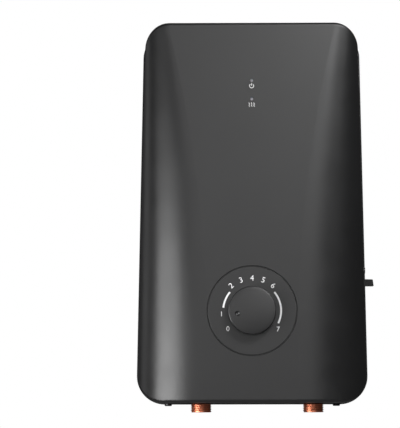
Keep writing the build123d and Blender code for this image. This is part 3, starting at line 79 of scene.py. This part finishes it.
def pickFaces(piece, wanted):
    for p in piece.data.polygons:
        p.select = wanted(p)
    bpy.ops.object.mode_set(mode="EDIT")


def editAll(piece):
    startEdit(piece)
    bpy.ops.object.mode_set(mode="EDIT")
    bpy.ops.mesh.select_all(action="SELECT")


def copied(name, source):  # a new object with its own copy of the mesh
    piece = bpy.data.objects.new(name, source.data.copy())
    bpy.context.collection.objects.link(piece)
    return piece


def settle(piece):  # puts the place of a piece into its mesh
    deselectAll()
    piece.select_set(True)
    bpy.context.view_layer.objects.active = piece
    bpy.ops.object.transform_apply(location=True, rotation=True, scale=True)


def applyModifier(piece, kind, **values):
    deselectAll()
    piece.select_set(True)
    bpy.context.view_layer.objects.active = piece
    modifier = piece.modifiers.new(kind.title(), kind)
    for key, value in values.items():
        setattr(modifier, key, value)
    bpy.ops.object.modifier_apply(modifier=modifier.name)


def outwards(piece):  # welds doubles and turns the faces out
    editAll(piece)
    bpy.ops.mesh.remove_doubles(threshold=0.000002)
    bpy.ops.mesh.normals_make_consistent(inside=False)
    bpy.ops.object.mode_set(mode="OBJECT")


def smooth(piece, angle=35):
    deselectAll()
    piece.select_set(True)
    bpy.context.view_layer.objects.active = piece
    bpy.ops.object.shade_smooth_by_angle(angle=radians(angle))


def join(name, pieces):
    deselectAll()
    for piece in pieces:
        piece.select_set(True)
    bpy.context.view_layer.objects.active = pieces[0]
    if len(pieces) > 1:
        bpy.ops.object.join()
    pieces[0].name = name
    pieces[0].data.name = name
    return pieces[0]


def dress(piece, material, body):
    piece.data.materials.clear()
    piece.data.materials.append(material)
    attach(piece, body)


# Materials: every surface has its own grain, gloss and small changes of tone
class Surface:
    def __init__(self, name):
        self.material = bpy.data.materials.new(name)
        self.material.use_nodes = True
        self.tree = self.material.node_tree
        self.shader = self.tree.nodes["Principled BSDF"]
        self.place = self.add("ShaderNodeTexCoord").outputs["Object"]

    def add(self, kind, **values):
        node = self.tree.nodes.new(kind)
        for key, value in values.items():
            if hasattr(node, key):
                setattr(node, key, value)
            else:
                node.inputs[key].default_value = value
        return node

    def link(self, source, target):
        self.tree.links.new(source, target)

    def stretched(self, scale):
        mapping = self.add("ShaderNodeMapping")
        mapping.inputs["Scale"].default_value = scale
        self.link(self.place, mapping.inputs["Vector"])
        return mapping.outputs["Vector"]

    def noise(self, scale, detail=3.0, roughness=0.5, vector=None):
        node = self.add("ShaderNodeTexNoise", Scale=scale, Detail=detail, Roughness=roughness)
        self.link(vector or self.place, node.inputs["Vector"])
        return node.outputs["Fac"]

    def ranged(self, source, low, high, start=0.3, stop=0.7):
        node = self.add("ShaderNodeMapRange")
        for name, value in zip(("From Min", "From Max", "To Min", "To Max"), (start, stop, low, high)):
            node.inputs[name].default_value = value
        self.link(source, node.inputs["Value"])
        return node.outputs["Result"]

    def blend(self, factor, first, second):
        node = self.add("ShaderNodeMix", data_type="RGBA")
        self.link(factor, node.inputs["Factor"])
        for socket, tone in zip((node.inputs[6], node.inputs[7]), (first, second)):
            if isinstance(tone, tuple):
                socket.default_value = (*tone, 1.0)
            else:
                self.link(tone, socket)
        return node.outputs[2]

    def paint(self, tone):
        self.link(tone, self.shader.inputs["Base Color"])

    def gloss(self, source):
        self.link(source, self.shader.inputs["Roughness"])

    def relief(self, height, strength, distance):
        bump = self.add("ShaderNodeBump", Strength=strength, Distance=distance)
        self.link(height, bump.inputs["Height"])
        self.link(bump.outputs["Normal"], self.shader.inputs["Normal"])


def shade(tone, factor):
    return tuple(min(1.0, c * factor) for c in tone)


def mouldedPlastic(name, look):
    s = Surface(name)
    tone = look["tone"]
    cloudScale = 14.0
    cloud = s.ranged(s.noise(cloudScale, 2.0), 0.0, 1.0, 0.35, 0.65)
    grain = s.noise(look.get("grainScale", 2600.0), 2.0, 0.6)
    change = look.get("change", 0.05)
    tinted = s.blend(cloud, shade(tone, 1.0 - change), shade(tone, 1.0 + change))
    speckle = s.ranged(grain, 0.0, 1.0, 0.25, 0.75)
    flecks = s.ranged(speckle, 0.0, look.get("speckle", 0.12), 0.0, 1.0)
    s.paint(s.blend(flecks, tinted, shade(tone, look.get("speckTone", 1.6))))
    rough = look["roughness"]
    s.gloss(s.ranged(s.noise(cloudScale * 3.0, 3.0), rough - 0.03, rough + 0.03))
    s.shader.inputs["Specular IOR Level"].default_value = look.get("specular", 0.5)
    s.relief(grain, look.get("relief", 0.25), 0.00006)
    return s.material


def softRubber(name, look):
    s = Surface(name)
    dust = s.ranged(s.noise(45.0, 4.0), 0.0, 0.35, 0.45, 0.75)
    s.paint(s.blend(dust, look["tone"], shade(look["tone"], 1.9)))
    s.gloss(s.ranged(s.noise(160.0, 3.0), 0.62, 0.78))
    s.relief(s.noise(1500.0, 2.0), 0.2, 0.00008)
    return s.material


def workedMetal(name, look):
    s = Surface(name)
    s.shader.inputs["Metallic"].default_value = 1.0
    lines = s.noise(look["lineScale"], 3.0, 0.6, s.stretched(look["lines"]))
    stain = s.ranged(s.noise(60.0, 4.0), 0.0, look.get("stain", 0.3), 0.42, 0.72)
    s.paint(s.blend(stain, look["tone"], look.get("stainTone", shade(look["tone"], 0.6))))
    s.gloss(s.ranged(lines, look["roughness"] - 0.06, look["roughness"] + 0.08))
    s.relief(lines, look.get("relief", 0.2), 0.00004)
    return s.material


def circuitBoard(name, look):
    s = Surface(name)
    split = s.add("ShaderNodeTexBrick", Scale=1.0)
    split.inputs["Brick Width"].default_value = look["trackLength"]
    split.inputs["Row Height"].default_value = look["trackPitch"]
    split.inputs["Mortar Size"].default_value = look["trackWidth"]
    split.inputs["Color1"].default_value = (0.0, 0.0, 0.0, 1.0)
    split.inputs["Color2"].default_value = (0.0, 0.0, 0.0, 1.0)
    split.inputs["Mortar"].default_value = (1.0, 1.0, 1.0, 1.0)
    turned = s.add("ShaderNodeMapping")
    turned.inputs["Rotation"].default_value = (pi / 2, 0.0, 0.0)
    s.link(s.place, turned.inputs["Vector"])
    s.link(turned.outputs["Vector"], split.inputs["Vector"])
    tracks = s.ranged(split.outputs["Color"], 0.0, 0.7, 0.0, 1.0)
    mask = s.blend(s.ranged(s.noise(30.0), 0.0, 1.0), look["tone"], shade(look["tone"], 1.25))
    s.paint(s.blend(tracks, mask, look["trackTone"]))
    s.gloss(s.ranged(s.noise(200.0), 0.28, 0.4))
    s.relief(split.outputs["Color"], 0.3, 0.00005)
    return s.material


def wireSleeve(name, look):
    s = Surface(name)
    tone = look["tone"]
    change = s.ranged(s.noise(70.0), 0.0, 1.0)
    base = s.blend(change, shade(tone, 0.88), shade(tone, 1.1))
    if "stripe" in look:  # two-coloured sleeve
        bands = s.add("ShaderNodeTexWave", Scale=look["stripeScale"], Distortion=0.6)
        s.link(s.place, bands.inputs["Vector"])
        base = s.blend(s.ranged(bands.outputs["Fac"], 0.0, 1.0, 0.52, 0.6), base, look["stripe"])
    s.paint(base)
    s.gloss(s.ranged(s.noise(400.0), 0.38, 0.5))
    s.relief(s.noise(1800.0), 0.1, 0.00005)
    return s.material


def milkyLens(name, look):
    s = Surface(name)
    s.paint(s.blend(s.ranged(s.noise(900.0), 0.0, 1.0), shade(look["tone"], 0.92), look["tone"]))
    s.gloss(s.ranged(s.noise(300.0), 0.16, 0.26))
    s.shader.inputs["Transmission Weight"].default_value = 0.25
    s.shader.inputs["Subsurface Weight"].default_value = 0.15
    s.shader.inputs["Subsurface Scale"].default_value = 0.001
    return s.material


finishes = {
    "charcoal_plastic": (mouldedPlastic, {"tone": (0.0105, 0.0105, 0.0108), "roughness": 0.35,
                                          "relief": 0.12, "speckTone": 1.9}),
    "black_plastic": (mouldedPlastic, {"tone": (0.004, 0.004, 0.0042), "roughness": 0.55, "specular": 0.3}),
    "dial_plastic": (mouldedPlastic, {"tone": (0.0115, 0.0115, 0.0118), "roughness": 0.38,
                                      "relief": 0.14, "speckTone": 1.9}),
    "knob_plastic": (mouldedPlastic, {"tone": (0.013, 0.013, 0.0133), "roughness": 0.36,
                                      "relief": 0.1, "speckTone": 1.9}),
    "lens_plastic": (milkyLens, {"tone": (0.3, 0.3, 0.31)}),
    "seal_rubber": (softRubber, {"tone": (0.015, 0.015, 0.015)}),
    "dark_steel": (workedMetal, {"tone": (0.05, 0.05, 0.052), "roughness": 0.4, "lines": (1, 1, 1),
                                 "lineScale": 900.0}),
    "bright_steel": (workedMetal, {"tone": (0.6, 0.6, 0.61), "roughness": 0.3, "lines": (1, 1, 6),
                                   "lineScale": 500.0}),
    "circuit_board": (circuitBoard, {"tone": (0.012, 0.13, 0.045), "trackTone": (0.05, 0.26, 0.1),
                                     "trackLength": 0.021, "trackPitch": 0.0042, "trackWidth": 0.0006}),
    "nylon": (mouldedPlastic, {"tone": (0.66, 0.63, 0.56), "roughness": 0.42, "change": 0.04,
                               "speckTone": 1.1}),
    "relay_blue": (mouldedPlastic, {"tone": (0.02, 0.09, 0.42), "roughness": 0.3, "relief": 0.1}),
    "capacitor_film": (mouldedPlastic, {"tone": (0.62, 0.4, 0.04), "roughness": 0.3, "relief": 0.1}),
    "tank_plastic": (mouldedPlastic, {"tone": (0.045, 0.045, 0.047), "roughness": 0.5,
                                      "grainScale": 900.0, "speckle": 0.3}),
    "valve_plastic": (mouldedPlastic, {"tone": (0.42, 0.42, 0.4), "roughness": 0.48, "grainScale": 900.0}),
    "element_steel": (workedMetal, {"tone": (0.42, 0.4, 0.37), "roughness": 0.35, "lines": (1, 1, 8),
                                    "lineScale": 400.0, "stain": 0.6, "stainTone": (0.22, 0.16, 0.12)}),
    "brass": (workedMetal, {"tone": (0.78, 0.56, 0.22), "roughness": 0.28, "lines": (1, 1, 14),
                            "lineScale": 500.0}),
    "copper_alloy": (workedMetal, {"tone": (0.86, 0.27, 0.15), "roughness": 0.34, "lines": (1, 1, 14),
                                   "lineScale": 500.0, "relief": 0.05, "stain": 0.15,
                                   "stainTone": (0.5, 0.15, 0.07)}),
    "copper_pipe": (workedMetal, {"tone": (0.76, 0.33, 0.18), "roughness": 0.27, "lines": (1, 1, 0.3),
                                  "lineScale": 700.0, "stain": 0.5, "stainTone": (0.4, 0.14, 0.07)}),
    "cutout_ceramic": (mouldedPlastic, {"tone": (0.68, 0.66, 0.6), "roughness": 0.5, "speckTone": 1.1}),
    "breaker_plastic": (mouldedPlastic, {"tone": (0.5, 0.5, 0.48), "roughness": 0.42, "speckTone": 1.15}),
    "button_plastic": (mouldedPlastic, {"tone": (0.03, 0.03, 0.031), "roughness": 0.3, "relief": 0.08}),
    "heat_sink": (workedMetal, {"tone": (0.72, 0.72, 0.73), "roughness": 0.34, "lines": (8, 1, 0.4),
                                "lineScale": 500.0}),
    "wire_brown": (wireSleeve, {"tone": (0.12, 0.038, 0.018)}),
    "wire_blue": (wireSleeve, {"tone": (0.015, 0.07, 0.42)}),
    "wire_green": (wireSleeve, {"tone": (0.03, 0.3, 0.05), "stripe": (0.75, 0.62, 0.04),
                                "stripeScale": 60.0}),
    "wire_grey": (wireSleeve, {"tone": (0.3, 0.3, 0.31)}),
    "print_white": (mouldedPlastic, {"tone": (0.72, 0.72, 0.73), "roughness": 0.5, "speckTone": 1.05,
                                     "relief": 0.1}),
}
made = {name: maker(name, look) for name, (maker, look) in finishes.items()}

slotOf = {part["node"]: part["material_slot"] for part in frame["record"]["subparts"]}
for name, node in nodes.items():
    material = made[slotOf[name]]
    if not node.data.materials:
        node.data.materials.append(material)
    for place in node.material_slots:
        place.material = material
print("materials assigned")


# Threaded ends of the two water connections
connections = {
    "pitch": 0.001814,
    "outerRadius": 0.0104775,
    "rootRadius": 0.0093155,
    "boreRadius": 0.0072,
    "end": -0.2010,
    "shoulder": -0.1924,
    "chamfer": 0.0009,
    "depth": -0.034,
    "rootDepth": 0.001,  # how far the wound section reaches in under the root
    "crestBand": 0.4,  # rows nearer the middle than this share of the pitch make the crest
    "crestShare": 0.6,
    "trim": 0.0001,
    "overSize": 0.0002,  # of the blank, over the crests
    "boreReach": 1.5,
    "steps": 56,
    "bodySides": 96,
    "boreSides": 72,
    "creaseAngle": 40,
}


def threadedEnd(values):
    pitch, outer, root = values["pitch"], values["outerRadius"], values["rootRadius"]
    under, over, trim = values["rootDepth"], values["overSize"], values["trim"]
    length = values["shoulder"] - values["end"]
    # One turn's section, then wound upwards
    deselectAll()
    bpy.ops.mesh.primitive_grid_add(x_subdivisions=1, y_subdivisions=3, size=1.0)
    thread = bpy.context.object
    thread.scale = (2 * under, pitch, 1.0)
    thread.rotation_euler = (pi / 2, 0.0, 0.0)
    thread.location = (root - under, 0.0, values["end"] - pitch / 2)
    settle(thread)
    startEdit(thread)
    pickVerts(thread, lambda co: co.x < root - under)
    bpy.ops.mesh.delete(type="VERT")
    bpy.ops.object.mode_set(mode="OBJECT")
    middle = values["end"] - pitch / 2
    pickVerts(thread, lambda co: abs(co.z - middle) < pitch * values["crestBand"])
    bpy.ops.transform.translate(value=(outer - root, 0.0, 0.0))
    bpy.ops.transform.resize(value=(1.0, 1.0, values["crestShare"]))
    bpy.ops.object.mode_set(mode="OBJECT")
    turns, steps = int(length / pitch) + 3, values["steps"]
    applyModifier(thread, "SCREW", angle=2 * pi, screw_offset=pitch, iterations=turns, steps=steps,
                  render_steps=steps, use_merge_vertices=True, merge_threshold=0.000001)
    for height, below in ((values["end"] + trim / 10, True), (values["shoulder"] - trim, False)):
        editAll(thread)
        bpy.ops.mesh.bisect(plane_co=(0, 0, height), plane_no=(0, 0, 1), use_fill=True,
                            clear_inner=below, clear_outer=not below)
        bpy.ops.object.mode_set(mode="OBJECT")
    outwards(thread)
    # Chamfered blank and the bore
    deselectAll()
    middle = (values["end"] + values["shoulder"]) / 2
    bpy.ops.mesh.primitive_cylinder_add(vertices=values["bodySides"], radius=outer + over, depth=length,
                                        location=(0, 0, middle))
    blank = bpy.context.object
    settle(blank)
    startEdit(blank, "FACE")
    pickFaces(blank, lambda p: p.normal.z < -0.9)  # the lower end
    bpy.ops.mesh.bevel(offset=values["chamfer"] + over, segments=1, affect="EDGES")
    bpy.ops.object.mode_set(mode="OBJECT")
    bpy.ops.mesh.primitive_cylinder_add(vertices=values["boreSides"], radius=values["boreRadius"],
                                        depth=length * values["boreReach"], location=(0, 0, middle))
    bore = bpy.context.object
    settle(bore)
    applyModifier(thread, "BOOLEAN", operation="INTERSECT", object=blank, solver="EXACT")
    applyModifier(thread, "BOOLEAN", operation="DIFFERENCE", object=bore, solver="EXACT")
    for tool in (blank, bore):
        bpy.data.objects.remove(tool)
    return thread


def dressedConnection(name, node, x, thread, values):
    upper = copied(name, nodes[node])
    outwards(upper)
    editAll(upper)
    seat = (x, values["depth"], values["shoulder"] - values["trim"])
    bpy.ops.mesh.bisect(plane_co=seat, plane_no=(0, 0, 1), clear_inner=True)
    bpy.ops.object.mode_set(mode="OBJECT")
    end = copied(name + "End", thread)
    end.location = (x, values["depth"], 0.0)
    settle(end)
    whole = join(name, [upper, end])
    smooth(whole, values["creaseAngle"])
    dress(whole, made["copper_alloy"], "root")
    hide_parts(node)
    return whole


threadMaster = threadedEnd(connections)
for node, title in (("inlet_connection", "threadedInlet"), ("outlet_connection", "threadedOutlet")):
    low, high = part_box(node)
    dressedConnection(title, node, (low[0] + high[0]) / 2, threadMaster, connections)
bpy.data.objects.remove(threadMaster)
print("water connections threaded")


# Crown of the control knob, shaded as one curved face
knobCrown = {"creaseAngle": 28}
crown = copied("crownedKnob", nodes["control_knob"])
outwards(crown)
bpy.ops.mesh.customdata_custom_splitnormals_clear()
smooth(crown, knobCrown["creaseAngle"])
dress(crown, made["knob_plastic"], "knob")
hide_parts("control_knob")
print("knob crowned")


# Printed marks on the dial and beside the indicators: arcs, plain numbers and simple signs
dialMarks = {
    "centre": (0.0, -0.0994),
    "face": -0.0858,
    "thickness": 0.00012,
    "arcRadius": 0.0290,
    "arcWidth": 0.0018,
    "arcs": ((138.5, 174.0), (-26.0, 41.5)),
    "capShare": 0.72,  # height of a number in its font size
    "turned": (45.0, 135.0),  # numbers between these angles have their tops outwards
    "numbers": (("1", 186.5, 0.0310, 0.0050), ("0", 217.0, 0.0305, 0.0050), ("7", -36.0, 0.0320, 0.0050),
                ("2", 130.0, 0.0325, 0.0056), ("3", 110.0, 0.0325, 0.0056), ("4", 90.0, 0.0325, 0.0056),
                ("5", 70.0, 0.0325, 0.0056), ("6", 50.0, 0.0325, 0.0056)),
}


def ringPart(name, centre, face, radius, width, thickness, first, last, vertices=180):
    # A flat strip between two angles
    deselectAll()
    bpy.ops.mesh.primitive_circle_add(vertices=vertices, radius=radius - width / 2)
    strip = bpy.context.object
    strip.name = name
    startEdit(strip)
    pickVerts(strip, lambda co: not first <= (degrees(atan2(co.y, co.x)) - first) % 360 + first <= last)
    bpy.ops.mesh.delete(type="VERT")
    bpy.ops.mesh.select_all(action="SELECT")
    bpy.ops.mesh.extrude_region_move()
    grow = (radius + width / 2) / (radius - width / 2)
    bpy.ops.transform.resize(value=(grow, grow, 1.0), center_override=(0, 0, 0))
    bpy.ops.object.mode_set(mode="OBJECT")
    strip.rotation_euler = (pi / 2, 0.0, 0.0)
    strip.location = (centre[0], face, centre[1])
    settle(strip)
    outwards(strip)
    applyModifier(strip, "SOLIDIFY", thickness=thickness, offset=0.0)
    outwards(strip)
    return strip


def numeral(text, x, z, face, height, turn, thickness):
    deselectAll()
    bpy.ops.object.text_add()
    mark = bpy.context.object
    mark.data.body = text
    mark.data.size = height / dialMarks["capShare"]
    mark.data.align_x = "CENTER"
    mark.data.align_y = "CENTER"
    mark.data.extrude = thickness / 2
    mark.data.resolution_u = 6
    bpy.ops.object.convert(target="MESH")
    mark = bpy.context.object
    mark.rotation_euler = (pi / 2, turn, 0.0)
    mark.location = (x, face, z)
    settle(mark)
    outwards(mark)
    return mark


marks = []
for first, last in dialMarks["arcs"]:
    marks.append(ringPart("dialArc", dialMarks["centre"], dialMarks["face"], dialMarks["arcRadius"],
                          dialMarks["arcWidth"], dialMarks["thickness"], first, last))
for text, angle, reach, height in dialMarks["numbers"]:
    x = dialMarks["centre"][0] + reach * cos(radians(angle))
    z = dialMarks["centre"][1] + reach * sin(radians(angle))
    turned = dialMarks["turned"][0] < angle < dialMarks["turned"][1]
    turn = radians(90.0 - angle) if turned else 0.0
    marks.append(numeral(text, x, z, dialMarks["face"], height, turn, dialMarks["thickness"]))
dress(join("dialMarks", marks), made["print_white"], "cover")

# Signs under the indicators: power (a ring with a bar) and heat (three waves)
signs = {
    "face": -0.08604,
    "thickness": 0.00012,
    "powerHeight": 0.1270,
    "powerRadius": 0.0021,
    "lineWidth": 0.0005,
    "heatHeight": 0.1080,
    "waveHeight": 0.0044,
    "waveSway": 0.0006,
    "waveSpacing": 0.0024,
    "waveRows": 8,
    "powerGap": (125.0, 415.0),  # where the ring starts and ends, in degrees
    "powerSides": 64,
    "powerBar": (0.7, 1.1),  # its middle and its length, in radii of the ring
}


def bar(x, z, face, width, height, thickness, sway=0.0, rows=1):
    deselectAll()
    bpy.ops.mesh.primitive_grid_add(x_subdivisions=1, y_subdivisions=rows, size=1.0)
    strip = bpy.context.object
    strip.scale = (width, height, 1.0)
    settle(strip)
    if sway:
        step = height / rows
        for side in (1, -1):  # every other inner row to one side, the rest to the other
            startEdit(strip)
            pickVerts(strip, lambda co: round((co.y + height / 2) / step) % 4 == (1 if side > 0 else 3))
            bpy.ops.transform.translate(value=(side * sway, 0.0, 0.0))
            bpy.ops.object.mode_set(mode="OBJECT")
        applyModifier(strip, "SUBSURF", levels=2, render_levels=2, boundary_smooth="PRESERVE_CORNERS")
    strip.rotation_euler = (pi / 2, 0.0, 0.0)
    strip.location = (x, face, z)
    settle(strip)
    outwards(strip)
    applyModifier(strip, "SOLIDIFY", thickness=thickness, offset=0.0)
    outwards(strip)
    return strip


def indicatorSigns(values):
    face, thick, line = values["face"], values["thickness"], values["lineWidth"]
    radius, middle = values["powerRadius"], values["powerHeight"]
    first, last = values["powerGap"]
    up, tall = values["powerBar"]
    pieces = [ringPart("sign", (0.0, middle), face, radius, line, thick, first, last, values["powerSides"]),
              bar(0.0, middle + radius * up, face, line, radius * tall, thick)]
    for x in (-values["waveSpacing"], 0.0, values["waveSpacing"]):
        pieces.append(bar(x, values["heatHeight"], face, line, values["waveHeight"], thick,
                          values["waveSway"], values["waveRows"]))
    return join("indicatorSigns", pieces)


dress(indicatorSigns(signs), made["print_white"], "cover")
print("dial and indicators marked")


# Springs of the piston and the test button, copied from the solids with smooth shading
springs = {
    "creaseAngle": 60,
    "coils": {  # node: piece, joint, axis, fixed end, share of the length left
        "piston_spring": ("pistonSpring", "flow_piston_lift", (0, 0, 1), (0.0, 0.0, -0.129), 0.655),
        "button_spring": ("buttonSpring", "test_button_press", (1, 0, 0), (0.0975, 0.0, 0.0), 0.8),
    },
}
for node, (title, joint, axis, anchor, keep) in springs["coils"].items():
    spring = copied(title, nodes[node])
    outwards(spring)
    smooth(spring, springs["creaseAngle"])
    dress(spring, made[slotOf[node]], "root")
    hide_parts(node)
    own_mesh(spring)
print("springs made")


# Camera, at the place the photograph was taken from
cameraPlace = {
    "at": (-0.0080, -3.2194, -0.2122),
    "yaw": -0.0141,
    "pitch": 0.0669,
    "roll": -0.0014,
    "lens": 262.97,
    "sensor": 36.0,
    "nearest": 0.05,
    "farthest": 60.0,
}
bpy.ops.object.camera_add(location=cameraPlace["at"])
camera = bpy.context.object
camera.name = "photoCamera"
yaw, pitch = cameraPlace["yaw"], cameraPlace["pitch"]
ahead = Vector((sin(yaw) * cos(pitch), cos(yaw) * cos(pitch), sin(pitch)))
camera.rotation_euler = ahead.to_track_quat("-Z", "Y").to_euler()
camera.rotation_euler.rotate_axis("Z", cameraPlace["roll"])
camera.data.lens = cameraPlace["lens"]
camera.data.sensor_width = cameraPlace["sensor"]
camera.data.clip_start = cameraPlace["nearest"]
camera.data.clip_end = cameraPlace["farthest"]
bpy.context.scene.camera = camera

# Floor, world and lamps
studio = {
    "floorHeight": -0.80,
    "floorSize": 60.0,
    "floorTone": (0.36, 0.36, 0.36),
    "floorPaleness": 0.62,
    "ambient": 0.03,
}
deselectAll()
bpy.ops.mesh.primitive_plane_add(size=studio["floorSize"], location=(0, 0, studio["floorHeight"]))
floor = bpy.context.object
floor.name = "studioFloor"
ground = Surface("studioFloor")
patches = ground.ranged(ground.noise(3.0), 0.0, 1.0)
ground.paint(ground.blend(patches, shade(studio["floorTone"], 0.98), studio["floorTone"]))
ground.gloss(ground.ranged(ground.noise(40.0), 0.85, 0.95))
seen = ground.add("ShaderNodeMath", operation="MULTIPLY")
seen.inputs[1].default_value = studio["floorPaleness"]
ground.link(ground.add("ShaderNodeLightPath").outputs["Is Camera Ray"], seen.inputs[0])
ground.link(seen.outputs["Value"], ground.shader.inputs["Emission Strength"])
ground.shader.inputs["Emission Color"].default_value = (1.0, 1.0, 1.0, 1.0)
ground.shader.inputs["Specular IOR Level"].default_value = 0.0
floor.data.materials.append(ground.material)

world = bpy.data.worlds.new("studioWorld")
bpy.context.scene.world = world
world.use_nodes = True
tree = world.node_tree
tree.nodes.clear()
path = tree.nodes.new("ShaderNodeLightPath")
soft = tree.nodes.new("ShaderNodeBackground")
soft.inputs["Color"].default_value = (1.0, 1.0, 1.0, 1.0)
soft.inputs["Strength"].default_value = studio["ambient"]
white = tree.nodes.new("ShaderNodeBackground")
white.inputs["Color"].default_value = (1.0, 1.0, 1.0, 1.0)
white.inputs["Strength"].default_value = 1.0
pick = tree.nodes.new("ShaderNodeMixShader")
output = tree.nodes.new("ShaderNodeOutputWorld")
tree.links.new(path.outputs["Is Camera Ray"], pick.inputs["Fac"])
tree.links.new(soft.outputs["Background"], pick.inputs[1])
tree.links.new(white.outputs["Background"], pick.inputs[2])
tree.links.new(pick.outputs["Shader"], output.inputs["Surface"])

lamps = {  # place, aim, width, height, power
    "lowerLeft": ((-0.59, -0.50, -0.20), (-0.1, -0.06, -0.18), 0.50, 0.38, 5.4),
    "upperRight": ((0.40, -1.10, 0.60), (0.07, 0.0, 0.14), 0.45, 0.4, 10.5),
    "rightEdge": ((0.55, -0.50, 0.40), (0.1, -0.05, 0.16), 0.20, 0.2, 2.2),
    "frontFill": ((0.18, -3.4, 0.25), (0.0, 0.0, 0.0), 2.2, 0.9, 12.6),
    "knobSide": ((-1.30, -2.60, -0.35), (0.0, 0.0, -0.1), 0.6, 0.6, 2.6),
    "leftRim": ((-1.5, 0.40, 0.1), (-0.1, -0.04, 0.0), 0.6, 0.6, 0.9),
    "rear": ((0.3, 2.2, 0.9), (0.0, 0.0, 0.0), 0.9, 0.9, 14.0),
}
for name, (place, aim, width, height, power) in lamps.items():
    bpy.ops.object.light_add(type="AREA", location=place)
    lamp = bpy.context.object
    lamp.name = name
    lamp.rotation_euler = (Vector(aim) - Vector(place)).to_track_quat("-Z", "Y").to_euler()
    lamp.data.shape = "RECTANGLE"
    lamp.data.size = width
    lamp.data.size_y = height
    lamp.data.energy = power
    lamp.visible_camera = False
bpy.context.scene.view_settings.view_transform = "Standard"
print("camera and lamps placed")
